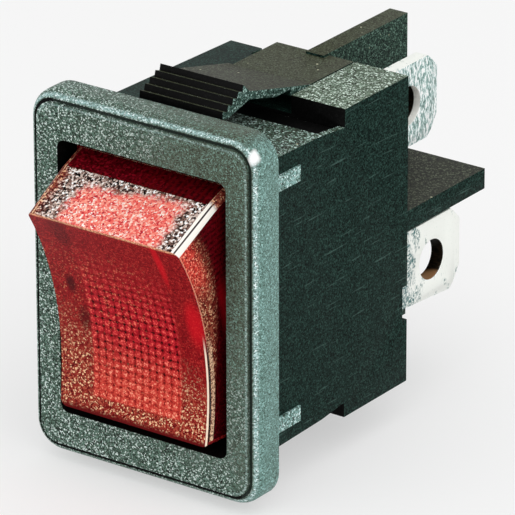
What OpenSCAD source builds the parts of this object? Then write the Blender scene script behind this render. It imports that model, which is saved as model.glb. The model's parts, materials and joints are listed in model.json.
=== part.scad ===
// Snap-in panel rocker switch with a lit rocker, one pole and three tab terminals.
// Millimetres. X runs to the right, Y back through the panel and Z up.
// The origin is the centre of the frame's rear face, which seats on the panel.

/* [Front frame] */
// Width of the front frame
bezel_w = 15; // [14:0.5:20]
// Height of the front frame
bezel_h = 21; // [18:0.5:28]
// Thickness of the front frame
bezel_t = 2; // [1.6:0.1:3]
// Corner radius of the frame, seen from the front
corner_r = 1.7; // [1:0.1:2.4]
// Rounding along the frame's front edge
edge_r = 0.8; // [0.3:0.1:0.9]
// Width of the rails beside the window
side_rail = 1.975; // [1.9:0.005:2.4]
// Height of the rails above and below the window
end_rail = 2.585; // [2.4:0.005:3]
// Corner radius of the window
window_r = 0.5; // [0.2:0.1:1]
// Width of the fine groove in the rounded edge
groove_w = 0.2; // [0.1:0.05:0.3]

/* [Body] */
// How far the frame overlaps the panel at each side
lip_x = 1.2; // [1:0.05:1.3]
// How far the frame overlaps the panel at the top
lip_top = 2.02; // [1.8:0.02:2.2]
// How far the frame overlaps the panel at the bottom
lip_bottom = 2.19; // [1.8:0.01:2.3]
// Depth of the body behind the panel face
body_depth = 13.68; // [12:0.02:18]
// Thickness of the body's floor
floor_t = 1.78; // [1.2:0.02:2.4]
// Depth of the ledges behind the frame
ledge_depth = 5.67; // [4.5:0.01:6]
// Where the raised blocks over the terminals begin
block_start = 7.73; // [7:0.01:9]
// Height of the top block above the origin, before the frame grows
block_drop_top = 1.345; // [1.1:0.005:1.6]
// The same for the bottom block
block_drop_bottom = 1.7; // [1.4:0.05:1.9]
// Length of the wall that stands behind the body's left side
guard_len = 1.1; // [0.5:0.1:2]
// Thickness of the cross walls between the terminals
barrier_t = 1.19; // [0.8:0.01:1.6]
// How far the cross walls reach behind the body
barrier_len = 7.52; // [5:0.02:9]

/* [Snap tongues] */
// Width of each snap tongue
tongue_w = 5.45; // [4:0.05:6]
// Where the tongue's ramp springs from the body
tongue_root = 9.6; // [8.8:0.1:11]
// Thickness of the tongue's arm
tongue_t = 0.45; // [0.3:0.05:0.6]
// Distance from the panel face back to the highest ridge
ridge_y = 3.45; // [3:0.05:4]
// Height of the ridge above the body's plateau
ridge_rise = 1.94; // [1.4:0.02:2.4]
// Number of panel steps in front of the ridge
step_count = 4; // [2:1:5]
// Distance from one step to the next
step_pitch = 0.4625; // [0.3:0.0025:0.5]
// Drop from one step to the next
step_drop = 0.2325; // [0.15:0.0025:0.3]

/* [Rocker] */
// Distance of the pivot behind the panel face
pivot_y = 0.41; // [0.2:0.01:0.8]
// Tilt of the rocker to each side of its middle
throw_deg = 12.4; // [9:0.1:13]
// Gap between the rocker's skirt and the window's ends
skirt_gap = 0.535; // [0.45:0.005:0.8]
// Gap between the rocker and the window's sides
side_gap = 0.465; // [0.3:0.005:0.7]
// Depth of the finger hollow in the rocker's face
finger_sag = 1.18; // [0.6:0.01:1.6]
// Distance of the hollow's deepest line in front of the pivot
face_front = 3.51; // [3.2:0.01:4]
// Rounding of the rocker's long edges, from the ridge back
rocker_edge_r = 0.45; // [0.2:0.05:0.8]
// Wall thickness of the rocker's face
face_t = 1.1; // [0.8:0.05:1.3]
// Depth of the skirt behind the pivot
skirt_back = 2.6; // [2:0.1:3]
// Radius of the pivot pins
pin_r = 0.9; // [0.6:0.05:1.1]
// Running clearance around the pivot pins
pin_gap = 0.05; // [0.03:0.01:0.1]

/* [Contacts] */
// Distance from the rocker's pivot to the centre of the plunger's tip
plunger_reach = 6.22; // [5.9:0.01:6.24]
// Radius of the plunger's tip
tip_r = 0.6; // [0.4:0.05:0.6]
// Bend of each arm of the see-saw
seesaw_bend = 12; // [10:0.5:14]
// Swing of the see-saw to each side of its middle
seesaw_swing = 6; // [5:0.1:6]
// Thickness of the see-saw's strip
seesaw_t = 0.4; // [0.3:0.05:0.4]
// Length of the see-saw's contact arm
contact_arm = 6.3; // [5.8:0.1:6.6]
// Height of the contacts above the pivot
contact_z = 5.5; // [5:0.1:5.8]

/* [Terminals] */
// Width of each tab
tab_w = 4.8; // [4:0.1:4.8]
// Thickness of each tab
tab_t = 0.8; // [0.5:0.05:0.8]
// Length of each tab behind the body
tab_len = 5.84; // [4.5:0.02:7]
// Diameter of the hole in each tab
tab_hole_d = 2.3; // [1:0.1:2.4]
// Distance from the tab's end back to the hole
tab_hole_inset = 3.06; // [2.2:0.02:3.5]

/* [Hidden] */
$fn = 64;
// Clearance around a piece that is pushed into its slot
fit = 0.02;
// Overlap that lets cutters run past a face
past = 0.5;

// Window, cavity and outer walls
window_w = bezel_w - 2 * side_rail;
window_h = bezel_h - 2 * end_rail;
body_w = bezel_w - 2 * lip_x;
body_top = bezel_h / 2 - lip_top;
body_bottom = bezel_h / 2 - lip_bottom;
block_top = bezel_h / 2 - block_drop_top;
block_bottom = bezel_h / 2 - block_drop_bottom;
floor_y = body_depth - floor_t;
upper_cavity = window_h / 2 - 0.32;
lower_cavity = window_h / 2 - 0.52;
cavity_step = pivot_y + skirt_back;
guard_inner_x = -4.2;
pad_h = 0.9;
pad_len = 3.5;
pad_rise = 0.12;

// Snap tongues
tongue_x0 = -2.7;
plateau_x0 = -2.4;
plateau_x1 = tongue_x0 + tongue_w - 0.05;
block_x0 = plateau_x1 + 0.1;
valley = [ridge_y + 0.59, -0.54];
groove = [0.1, 0.36];
hook_h = 1.1;

// Rocker
skirt_r = window_h / 2 - skirt_gap;
ridge_v = skirt_r - 1.17;
rocker_half_w = window_w / 2 - side_gap;
face_r = (ridge_v * ridge_v + finger_sag * finger_sag) / (2 * finger_sag);
face_axis = -face_front - face_r;
ridge_u = -face_front - finger_sag;
rocker_inner_x = rocker_half_w - 1.06;
pin_end_x = window_w / 2 + 0.38;

// Plunger, see-saw and contacts
pole_x = rocker_inner_x - 0.8;
tube_r = 1.35;
tube_bore_r = 0.9;
tube_front = -1.7;
tube_back = 4.4;
plunger_r = 0.85;
plunger_front = 2.4;
plunger_shoulder = 5.2;
seat_y = pivot_y + 7.33;
seesaw_half_w = 0.9;
rear_arm = 2.7;
contact_r = 1;
contact_h = 0.5;
contact_dome_r = 2.5;
rivet_r = 0.45;
fixed_face_y = seat_y - 0.02;
foot_y = seat_y + 0.56;
foot_t = 0.8;

// Lamp set, in the rocker's own frame
holder_front = 1.9;
holder_t = 0.6;
bulb_u = 0.2;
bulb_r = 1.3;
bulb_wall = 0.2;
bulb_tip_v = -5.8;
bulb_base_v = -0.6;
electrode_x = 0.35;
resistor_x = -0.9;
resistor_u = 0.9;
resistor_r = 0.8;
resistor_v0 = 1.3;
resistor_len = 3.6;
lead_r = 0.15;
coil_r = 0.69;
spring_wire_r = 0.11;
supply_x = 1.25;
supply_v = 3.45;
return_x = -1.25;
return_v = -3;
ring_u = holder_front + holder_t + lead_r;
// Room for the tilt between a lamp spring's end turns and what they press on
ring_room = 0.32;
foot_room = 0.14;

// Terminals
load_x = pole_x + 0.8;
load_z = 6.05;
side_x = body_w / 2 - 0.7;
side_z = -2.6;
side_splay = 0.35;
tab_end_y = body_depth + tab_len;
tab_hole_y = tab_end_y - tab_hole_inset;
shoulder_y = floor_y + 0.5;

// ---- Helpers ----

// Range that reaches equally far to both sides of a middle
function around(middle, reach) = [middle - reach, middle + reach];

// Box between two corners
module box(x, y, z) {
    translate([x[0], y[0], z[0]])
        cube([x[1] - x[0], y[1] - y[0], z[1] - z[0]]);
}

// Extrudes an outline drawn in Y and Z along X
module along_x(x) {
    translate([x[0], 0, 0])
        rotate([90, 0, 90])
            linear_extrude(x[1] - x[0])
                children();
}

// Extrudes an outline drawn in X and Z along Y
module along_y(y) {
    translate([0, y[1], 0])
        rotate([90, 0, 0])
            linear_extrude(y[1] - y[0])
                children();
}

// Round bar along X
module rod_x(r, x, y, z) {
    translate([x[0], y, z])
        rotate([0, 90, 0])
            cylinder(r = r, h = x[1] - x[0]);
}

// Round bar along Y
module rod_y(r, x, y, z) {
    translate([x, y[0], z])
        rotate([-90, 0, 0])
            cylinder(r = r, h = y[1] - y[0]);
}

// Round bar between two points
module strut(a, b, r) {
    d = b - a;
    translate(a)
        rotate([0, acos(d[2] / norm(d)), atan2(d[1], d[0])])
            cylinder(r = r, h = norm(d), $fn = 24);
}

// Bent wire through a list of points
module wire(points, r) {
    for (i = [0 : len(points) - 2])
        strut(points[i], points[i + 1], r);
    for (i = [1 : len(points) - 2])
        translate(points[i])
            sphere(r = 1.1 * r, $fn = 24);
}

// Rectangle with round corners
module rounded_rect(w, h, r) {
    square([w - 2 * r, h], center = true);
    square([w, h - 2 * r], center = true);
    for (sx = [-1, 1], sy = [-1, 1])
        translate([sx * (w / 2 - r), sy * (h / 2 - r)])
            circle(r);
}

// Coil spring from the origin along Z, with close end turns left out
module coil(r, wire_r, length, turns) {
    sides = 6;
    steps = turns * 14;
    pitch = (length - 2 * wire_r) / turns;
    points = [
        for (i = [0 : steps], s = [0 : sides - 1])
            let (a = 360 * i / 14, b = 360 * s / sides, ring = r + wire_r * cos(b))
                [ring * cos(a), ring * sin(a), wire_r + pitch * a / 360 + wire_r * sin(b)]
    ];
    sides_faces = [
        for (i = [0 : steps - 1], s = [0 : sides - 1])
            let (t = (s + 1) % sides, j = i * sides)
                [j + s, j + t, j + sides + t, j + sides + s]
    ];
    caps = [
        [for (s = [0 : sides - 1]) sides - 1 - s],
        [for (s = [0 : sides - 1]) steps * sides + s]
    ];
    polyhedron(points, concat(sides_faces, caps), convexity = 10);
}

// Places a coil between two points
module coil_between(a, b, r, wire_r, turns) {
    d = b - a;
    translate(a)
        rotate([0, acos(d[2] / norm(d)), atan2(d[1], d[0])])
            coil(r, wire_r, norm(d), turns);
}

// Carries what is drawn about the pivot into the rocker's resting tilt
module in_rocker() {
    translate([0, pivot_y, 0])
        rotate([throw_deg, 0, 0])
            children();
}

// Carries what is drawn about the see-saw's seat into its resting tilt
module in_seesaw() {
    translate([pole_x, seat_y, 0])
        rotate([-seesaw_swing, 0, 0])
            children();
}

// Point of the rocker's frame in the part's frame
function from_rocker(p) = [
    p[0],
    pivot_y + p[1] * cos(throw_deg) - p[2] * sin(throw_deg),
    p[1] * sin(throw_deg) + p[2] * cos(throw_deg)
];

// ---- Housing ----

// Front frame with its rounded front edge
module bezel_plate() {
    hull() {
        along_y([-bezel_t + edge_r, 0])
            rounded_rect(bezel_w, bezel_h, corner_r, $fn = 32);
        for (a = [15 : 15 : 90])
            along_y([-bezel_t + edge_r * (1 - sin(a)), -bezel_t + edge_r])
                rounded_rect(
                    bezel_w - 2 * edge_r * (1 - cos(a)),
                    bezel_h - 2 * edge_r * (1 - cos(a)),
                    corner_r - edge_r * (1 - cos(a)),
                    $fn = 32
                );
    }
}

// Ring that cuts the fine groove round the frame's face
module edge_groove() {
    inset = 0.39;
    along_y([-bezel_t - past, -bezel_t + 0.17])
        difference() {
            rounded_rect(bezel_w - 2 * inset, bezel_h - 2 * inset, corner_r - inset);
            rounded_rect(
                bezel_w - 2 * (inset + groove_w),
                bezel_h - 2 * (inset + groove_w),
                corner_r - inset - groove_w
            );
        }
}

// Outer walls of one half of the body, from the middle up to the given height
module right_half(top) {
    along_x([0, body_w / 2])
        polygon([
            [-1, -past],
            [-1, top],
            [0, top],
            [ledge_depth, top - 0.15],
            [block_start, top - 0.38],
            [body_depth, top - 0.38],
            [body_depth, -past]
        ]);
}

// The same on the left, where the top falls away evenly and may run on behind the body
module left_half(top, x, length) {
    along_x(x)
        polygon([[-1, -past], [-1, top], [0, top], [length, top - 0.03 * length], [length, 0], [0, 0]]);
}

// Springy tongue with panel steps, drawn for the top of the body
module tongue(plateau) {
    ridge = [ridge_y, plateau + ridge_rise];
    nose = ridge - step_count * [step_pitch, step_drop];
    steps = [
        for (i = [0 : step_count - 1])
            each [
                ridge - i * [step_pitch, step_drop],
                ridge - i * [step_pitch, step_drop] - groove
            ]
    ];
    top = [[tongue_root, plateau], [valley[0], ridge[1] + valley[1]]];
    under = [
        nose - [0.05, 0.42],
        [nose[0] + 0.5, nose[1] - 0.5],
        [ridge_y, ridge[1] - hook_h],
        [valley[0], ridge[1] + valley[1] - tongue_t],
        [tongue_root - 0.3, plateau - tongue_t],
        [tongue_root + 0.5, plateau - 1.1]
    ];
    along_x([tongue_x0, tongue_x0 + tongue_w])
        polygon(concat(top, steps, [nose], under));
    box([plateau_x0, plateau_x1], [tongue_root, body_depth], [plateau - 1.3, plateau]);
}

// Small pads that centre the body in the panel's cut-out
module side_pads() {
    for (sx = [-1, 1], sz = [-1, 1])
        translate([sx * body_w / 2, pad_len / 2, sz * (body_top - 1.53)])
            cube([2 * pad_rise, pad_len, pad_h], center = true);
}

// Walls that part the terminals behind the body
module barriers() {
    barrier_y = [body_depth - past, body_depth + barrier_len];
    box([-0.12, barrier_t - 0.12], barrier_y, [-block_bottom, block_top + 0.135]);
    box([0, body_w / 2], barrier_y, [0.08, 0.08 + barrier_t]);
}

// Posts that stand on the floor behind the terminals' inner plates
module posts() {
    post_y = [foot_y + foot_t + 0.05, floor_y + past];
    box([pole_x - 2.2, pole_x + 0.2], post_y, [4.4, 7]);
    box(around(pole_x, 1), [seat_y + 0.86, floor_y + past], [-0.9, 0.9]);
    box([-2.5, -0.6], post_y, [-4, -2]);
}

// Room for the rocker and the contacts
module cavity() {
    half_w = window_w / 2;
    along_y([-bezel_t - past, past])
        rounded_rect(window_w, window_h, window_r);
    box([-half_w, half_w], [0, cavity_step], [-upper_cavity, upper_cavity]);
    box([-half_w, half_w], [cavity_step - 0.1, floor_y], [-lower_cavity, lower_cavity]);
    rod_x(pin_r + pin_gap, [-pin_end_x - 0.05, pin_end_x + 0.05], pivot_y, 0);
}

// Slots that the terminals are pushed through
module terminal_slots() {
    slot_y = [floor_y - past, body_depth + past];
    load_slot_x = around(load_x, tab_t / 2 + fit);
    box(load_slot_x, slot_y, [load_z - 2.15 - fit, load_z + 1.15 + fit]);
    box(load_slot_x, [shoulder_y - fit, body_depth + past], around(load_z, tab_w / 2 + fit));
    for (s = [-1, 1]) {
        slot_x = around(s * side_x, tab_t / 2 + fit);
        box(slot_x, slot_y, around(side_z, tab_w / 2 + fit));
        box(slot_x, [foot_y - 0.65, floor_y + 0.1 + fit],
            [side_z - tab_w / 2 - fit, s > 0 ? 1 + fit : side_z + tab_w / 2 + fit]);
    }
}

module housing() {
    color("#1f2423")
        difference() {
            union() {
                bezel_plate();
                right_half(body_top);
                mirror([0, 0, 1])
                    right_half(body_bottom);
                left_half(body_top, [-body_w / 2, 0], body_depth);
                left_half(body_top, [-body_w / 2, guard_inner_x], body_depth + guard_len);
                mirror([0, 0, 1])
                    left_half(body_bottom, [-body_w / 2, 0], body_depth);
                tongue(block_top);
                mirror([0, 0, 1])
                    tongue(block_top);
                box([block_x0, body_w / 2], [block_start, body_depth], [0, block_top]);
                box([block_x0, body_w / 2], [block_start, body_depth], [-block_bottom, 0]);
                side_pads();
                barriers();
            }
            difference() {
                cavity();
                posts();
            }
            edge_groove();
            // Pocket beside the tongue, behind the top ledge
            box([tongue_x0, body_w / 2 - 0.4], [ledge_depth, block_start], [body_top - 0.6, body_top + 1]);
            // Notch beside the common tab
            box([side_x + 0.3, body_w], [body_depth - 0.43, body_depth + past], [-5.12, -3.1]);
            terminal_slots();
        }
}

// ---- Rocker ----

// Front of the rocker: rounded cross sections that widen from the ridges back to the skirt
module rocker_front() {
    sections = [
        [rocker_half_w - 0.14, ridge_v, ridge_u],
        [rocker_half_w - 0.04, ridge_v + 0.93, ridge_u + 3.42],
        [rocker_half_w, skirt_r - 0.01, 0.3]
    ];
    hull()
        for (s = sections)
            along_y([s[2], s[2] + 0.01])
                rounded_rect(2 * s[0], 2 * s[1], rocker_edge_r, $fn = 48);
}

// Round skirt behind the rocker's front
module rocker_skirt() {
    along_x([-rocker_half_w, rocker_half_w])
        intersection() {
            circle(skirt_r);
            translate([0.3, -skirt_r])
                square([skirt_back - 0.3, 2 * skirt_r]);
        }
}

// Hollow inside the rocker, its front following the face
module rocker_hollow() {
    difference() {
        along_x([-rocker_inner_x, rocker_inner_x])
            polygon([
                [ridge_u, -ridge_v + 0.9],
                [ridge_u + 3.4, -ridge_v],
                [skirt_back + past, -ridge_v + 0.05],
                [skirt_back + past, ridge_v - 0.05],
                [ridge_u + 3.4, ridge_v],
                [ridge_u, ridge_v - 0.9]
            ]);
        translate([0, face_axis, 0])
            rod_x(face_r + face_t, [-20, 20], 0, 0, $fn = 360);
    }
}

module rocker() {
    color("#c3161c")
        in_rocker()
            difference() {
                union() {
                    difference() {
                        union() {
                            rocker_front();
                            rocker_skirt();
                        }
                        translate([0, face_axis, 0])
                            rod_x(face_r, [-20, 20], 0, 0, $fn = 360);
                        rocker_hollow();
                    }
                    rod_y(tube_r, pole_x, [tube_front, tube_back], 0);
                    // Ribs that stop the lamp holder
                    for (sx = [-1, 1], sz = [-1, 1])
                        translate([sx * (rocker_inner_x + 0.1), 0.1, sz * 3.4])
                            cube([0.8, 3.5, 0.6], center = true);
                    for (s = [-1, 1])
                        rod_x(pin_r, s > 0 ? [rocker_half_w - 0.3, pin_end_x] : [-pin_end_x, 0.3 - rocker_half_w],
                            0, 0);
                }
                rod_y(tube_bore_r, pole_x, [tube_front + 0.5, tube_back + past], 0);
            }
}

// ---- Lamp set, carried by the rocker ----

// Curved light filter behind the face
module diffuser() {
    color("#e8b8a8")
        in_rocker()
            intersection() {
                translate([0, face_axis, 0])
                    difference() {
                        rod_x(face_r + face_t + 0.55, [-2.9, 2.9], 0, 0, $fn = 360);
                        rod_x(face_r + face_t + 0.05, [-4, 4], 0, 0, $fn = 360);
                    }
                box([-4, 4], [ridge_u, 0], around(0, ridge_v - 0.7));
            }
}

// Cradle rib that reaches forward from the holder to a round part
module cradle(x, u, v, r) {
    difference() {
        box([x - r - 0.35, x + r + 0.35], [u + 0.3, holder_front + 0.1], [v - 0.3, v + 0.3]);
        translate([x, u, v - 1])
            cylinder(r = r + fit, h = 2);
    }
}

module lamp_holder() {
    half_w = rocker_inner_x - 0.1;
    half_h = ridge_v - 0.15;
    holder_back = holder_front + holder_t;
    color("#e9e6dc")
        in_rocker()
            difference() {
                union() {
                    box([-half_w, half_w], [holder_front, holder_back], [-half_h, half_h]);
                    cradle(0, bulb_u, -4.6, bulb_r);
                    cradle(0, bulb_u, -1.9, bulb_r);
                    cradle(resistor_x, resistor_u, 2.1, resistor_r);
                    cradle(resistor_x, resistor_u, 4.1, resistor_r);
                    rod_y(0.5, supply_x, [holder_back - 0.1, holder_back + 0.4], supply_v);
                    rod_y(0.5, return_x, [holder_back - 0.1, holder_back + 0.4], return_v);
                }
                rod_y(tube_r + 0.1, pole_x, [0, 4], 0);
                rod_y(lead_r + fit, supply_x, [1, 4], supply_v + coil_r);
                rod_y(lead_r + fit, return_x - coil_r, [1, 4], return_v);
            }
}

// Solid of revolution along Z with one round end and one flat base
module bulb_body(r, tip, base) {
    translate([0, bulb_u, tip + r])
        cylinder(r = r, h = base - tip - r);
    translate([0, bulb_u, tip + r])
        sphere(r = r);
}

module lamp_bulb() {
    inner_r = bulb_r - bulb_wall;
    color("#f4f1ea")
        in_rocker()
            difference() {
                bulb_body(bulb_r, bulb_tip_v, bulb_base_v);
                bulb_body(inner_r, bulb_tip_v + bulb_wall, bulb_base_v - 0.5);
                for (s = [-1, 1])
                    translate([s * electrode_x, bulb_u, bulb_base_v - 1])
                        cylinder(r = lead_r + 0.01, h = 2);
            }
}

// Two electrodes held by a glass bead
module lamp_electrodes() {
    color("#b9b9b6")
        in_rocker() {
            for (s = [-1, 1]) {
                translate([s * electrode_x, bulb_u, -4.2])
                    cylinder(r = 0.22, h = 2.4);
                translate([s * electrode_x, bulb_u, -1.9])
                    cylinder(r = lead_r, h = 1.4);
            }
            box(around(0, electrode_x + 0.3), around(bulb_u, 0.25), [-1.75, -1.35]);
        }
}

module resistor() {
    color("#cbb389")
        in_rocker()
            translate([resistor_x, resistor_u, resistor_v0]) {
                cylinder(r = resistor_r - 0.12, h = resistor_len);
                for (z = [0, resistor_len - 0.9])
                    translate([0, 0, z])
                        cylinder(r = resistor_r, h = 0.9);
            }
}

// Ring of wire that a lamp spring presses on
module lead_ring(x, v) {
    translate([x, ring_u, v])
        rotate([90, 0, 0])
            rotate_extrude()
                translate([coil_r, 0])
                    circle(lead_r, $fn = 24);
}

module supply_lead() {
    resistor_end = resistor_v0 + resistor_len;
    color("#c9cac6")
        in_rocker() {
            wire([
                [resistor_x, resistor_u, resistor_end],
                [resistor_x, resistor_u, resistor_end + 0.45],
                [supply_x, resistor_u, resistor_end + 0.45],
                [supply_x, resistor_u, supply_v + coil_r],
                [supply_x, ring_u, supply_v + coil_r]
            ], lead_r);
            lead_ring(supply_x, supply_v);
        }
}

module bridge_lead() {
    color("#c9cac6")
        in_rocker()
            wire([
                [resistor_x, resistor_u, resistor_v0],
                [resistor_x, resistor_u, 0.3],
                [resistor_x, bulb_u, 0.3],
                [-electrode_x, bulb_u, 0.3],
                [-electrode_x, bulb_u, -0.5]
            ], lead_r);
}

module return_lead() {
    behind_bulb = bulb_u + bulb_r + 0.2;
    color("#c9cac6")
        in_rocker() {
            wire([
                [electrode_x, bulb_u, -0.5],
                [electrode_x, bulb_u, 0.1],
                [electrode_x, behind_bulb, 0.3],
                [return_x - coil_r, behind_bulb, 0.3],
                [return_x - coil_r, behind_bulb, return_v],
                [return_x - coil_r, ring_u, return_v]
            ], lead_r);
            lead_ring(return_x, return_v);
        }
}

// Lamp spring from a lead's ring back to a terminal's foot
module lamp_spring(x, v, foot_z) {
    color("#d2d3cf")
        coil_between(
            from_rocker([x, ring_u + lead_r + ring_room, v]),
            [x, foot_y - foot_room, foot_z],
            coil_r, spring_wire_r, 9
        );
}

module supply_spring() {
    lamp_spring(supply_x, supply_v, supply_v);
}

module return_spring() {
    lamp_spring(return_x, return_v, return_v);
}

// ---- Plunger and see-saw ----

module plunger() {
    color("#efede4")
        in_rocker() {
            rod_y(plunger_r, pole_x, [plunger_front, plunger_shoulder], 0);
            rod_y(tip_r, pole_x, [plunger_shoulder - 0.1, plunger_reach], 0);
            translate([pole_x, plunger_reach, 0])
                sphere(r = tip_r);
        }
}

module plunger_spring() {
    color("#d2d3cf")
        in_rocker()
            translate([pole_x, tube_front + 0.5 + fit, 0])
                rotate([-90, 0, 0])
                    coil(coil_r, spring_wire_r, plunger_front - tube_front - 0.5 - 2 * fit, 7);
}

// Point on the rear face of the see-saw's contact arm
function arm_point(s) = [-s * sin(seesaw_bend), s * cos(seesaw_bend)];

module seesaw() {
    front = seesaw_t * [-cos(seesaw_bend), -sin(seesaw_bend)];
    top = arm_point(contact_arm);
    rear = arm_point(rear_arm);
    color("#c08a4a")
        in_seesaw()
            difference() {
                along_x([-seesaw_half_w, seesaw_half_w])
                    polygon([
                        [0, 0],
                        top,
                        top + front,
                        [-seesaw_t / cos(seesaw_bend), 0],
                        [rear[0] + front[0], -rear[1] - front[1]],
                        [rear[0], -rear[1]]
                    ]);
                on_arm()
                    rod_y(rivet_r + fit, 0, [-1, 1], 0);
            }
}

// Carries what is drawn on the arm's rear face to the contact's place
module on_arm() {
    p = arm_point(contact_z);
    translate([0, p[0], p[1]])
        rotate([seesaw_bend, 0, 0])
            children();
}

module moving_contact() {
    color("#d9d9d6")
        in_seesaw()
            on_arm() {
                intersection() {
                    rod_y(contact_r, 0, [0.01, 1], 0);
                    translate([0, contact_h - contact_dome_r, 0])
                        sphere(r = contact_dome_r, $fn = 96);
                }
                rod_y(rivet_r, 0, [-seesaw_t - 0.1, 0.1], 0);
                rod_y(rivet_r + 0.25, 0, [-seesaw_t - 0.16, -seesaw_t - 0.01], 0);
            }
}

module fixed_contact() {
    color("#d9d9d6") {
        rod_y(contact_r + 0.1, pole_x, [fixed_face_y, foot_y - 0.01], contact_z);
        rod_y(rivet_r, pole_x, [fixed_face_y, foot_y + foot_t], contact_z);
    }
}

// ---- Terminals ----

// Tab with bevelled end and hole, its plate centred on x
module tab_blade(x, z, start_y, splay) {
    z0 = z - tab_w / 2;
    z1 = z + tab_w / 2;
    half_t = tab_t / 2;
    difference() {
        intersection() {
            along_x([x - half_t, x + half_t])
                polygon([
                    [start_y, z0 + splay],
                    [body_depth, z0 + splay],
                    [tab_end_y - 1.25, z0],
                    [tab_end_y, z0 + 1.05],
                    [tab_end_y, z1 - 1],
                    [tab_end_y - 1.2, z1],
                    [start_y, z1]
                ]);
            translate([x, 0, z - tab_w])
                linear_extrude(2 * tab_w)
                    polygon([
                        [-half_t, 0],
                        [half_t, 0],
                        [half_t, tab_end_y - 0.85],
                        [half_t / 2, tab_end_y],
                        [-half_t / 2, tab_end_y],
                        [-half_t, tab_end_y - 0.85]
                    ]);
        }
        rod_x(tab_hole_d / 2, [x - 1, x + 1], tab_hole_y, z);
    }
}

module load_terminal() {
    foot = [foot_y, foot_y + foot_t];
    color("#c8c9c4")
        difference() {
            union() {
                tab_blade(load_x, load_z, shoulder_y, 0);
                box(around(load_x, tab_t / 2), [foot_y, shoulder_y + 0.1], [load_z - 2.15, load_z + 1.15]);
                box([pole_x - 1.3, load_x + tab_t / 2], foot, [load_z - 1.85, load_z + 1.15]);
                box([pole_x - 2.6, pole_x - 1.2], foot, [2.6, load_z + 1.15]);
            }
            rod_y(rivet_r + fit, pole_x, [foot_y - 1, foot_y + 2], contact_z);
        }
}

module common_terminal() {
    saddle = [seat_y + 0.01, seat_y + 0.81];
    inner_x = side_x - tab_t / 2;
    color("#c8c9c4") {
        tab_blade(side_x, side_z, floor_y, side_splay);
        box([inner_x, inner_x + tab_t], [saddle[0], floor_y + 0.1],
            [side_z - tab_w / 2 + side_splay, 1]);
        box([pole_x - 1.2, inner_x + 0.1], saddle, [-1, 1]);
        // Ears that keep the see-saw on its seat
        for (s = [-1, 1])
            translate([pole_x + s * (seesaw_half_w + 0.175), seat_y + 0.1, 0])
                cube([0.25, 1.4, 2], center = true);
    }
}

module lamp_terminal() {
    outer_x = -side_x - tab_t / 2;
    color("#c8c9c4") {
        tab_blade(-side_x, side_z, floor_y, side_splay);
        box([outer_x, outer_x + tab_t], [foot_y, floor_y + 0.1],
            [side_z - tab_w / 2 + side_splay, side_z + tab_w / 2]);
        box([outer_x, return_x + 0.85], [foot_y, foot_y + foot_t], [return_v - 1.2, return_v + 1.2]);
    }
}

housing();
rocker();
diffuser();
lamp_holder();
lamp_bulb();
lamp_electrodes();
resistor();
supply_lead();
bridge_lead();
return_lead();
supply_spring();
return_spring();
plunger();
plunger_spring();
seesaw();
moving_contact();
fixed_contact();
load_terminal();
common_terminal();
lamp_terminal();
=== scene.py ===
"""Looks of a snap-in panel rocker switch, dressed over its packed construction.

The construction holds every piece at its real size. This script rounds the edges of
the mouldings and stampings, winds the springs, presses the waffle of the light filter,
gives each piece its finish and sets up a plain pale studio.
"""

import json
import logging
import math
from dataclasses import dataclass
from enum import IntEnum

import bmesh
import bpy
import numpy as np
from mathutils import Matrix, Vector

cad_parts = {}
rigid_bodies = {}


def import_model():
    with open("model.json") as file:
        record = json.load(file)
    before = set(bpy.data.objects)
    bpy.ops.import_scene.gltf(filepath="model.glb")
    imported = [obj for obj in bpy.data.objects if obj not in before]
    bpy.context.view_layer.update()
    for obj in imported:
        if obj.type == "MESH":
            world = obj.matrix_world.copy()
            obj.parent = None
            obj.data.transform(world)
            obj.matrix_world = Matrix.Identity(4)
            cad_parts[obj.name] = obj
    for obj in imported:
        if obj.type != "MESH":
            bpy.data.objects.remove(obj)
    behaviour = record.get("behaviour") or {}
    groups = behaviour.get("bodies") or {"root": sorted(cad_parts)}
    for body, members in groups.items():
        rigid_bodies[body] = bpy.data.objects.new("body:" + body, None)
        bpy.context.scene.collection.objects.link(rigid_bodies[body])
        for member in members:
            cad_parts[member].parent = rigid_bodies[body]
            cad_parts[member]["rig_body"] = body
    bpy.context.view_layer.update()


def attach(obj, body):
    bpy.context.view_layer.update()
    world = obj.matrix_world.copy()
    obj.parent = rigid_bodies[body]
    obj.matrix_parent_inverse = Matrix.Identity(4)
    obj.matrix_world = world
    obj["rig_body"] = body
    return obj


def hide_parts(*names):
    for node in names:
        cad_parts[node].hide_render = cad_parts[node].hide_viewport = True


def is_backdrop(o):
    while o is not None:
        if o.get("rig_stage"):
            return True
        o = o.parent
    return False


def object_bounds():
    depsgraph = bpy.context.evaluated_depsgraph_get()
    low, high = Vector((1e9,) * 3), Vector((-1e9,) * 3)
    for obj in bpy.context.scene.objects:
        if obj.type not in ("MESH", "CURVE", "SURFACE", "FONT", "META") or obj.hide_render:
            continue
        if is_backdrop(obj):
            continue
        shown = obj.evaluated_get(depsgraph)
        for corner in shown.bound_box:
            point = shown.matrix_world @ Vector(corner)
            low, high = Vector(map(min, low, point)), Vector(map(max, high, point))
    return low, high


log = logging.getLogger("rocker_switch")
MM = 0.001
ROCKER_BODY = "rocker_unit"
# The rocker's pins lie this far behind the panel face, and it rests at this tilt.
PIVOT_Y = 0.41
TILT = math.radians(12.4)
# The finger hollow is a cylinder, and its axis lies this far behind the pins.
HOLLOW_R = 16.93
HOLLOW_U = -20.44
# Edges that bend by more degrees than this are rounded.
SHARP_DEG = 30.0
# The waffle of the light filter repeats at this pitch.
WAFFLE_PITCH = 0.48
Colour = tuple[float, float, float]
Tones = tuple[Colour, Colour, Colour, Colour, Colour]
Socket = bpy.types.NodeSocket


# ---- Shader graphs ----


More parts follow.
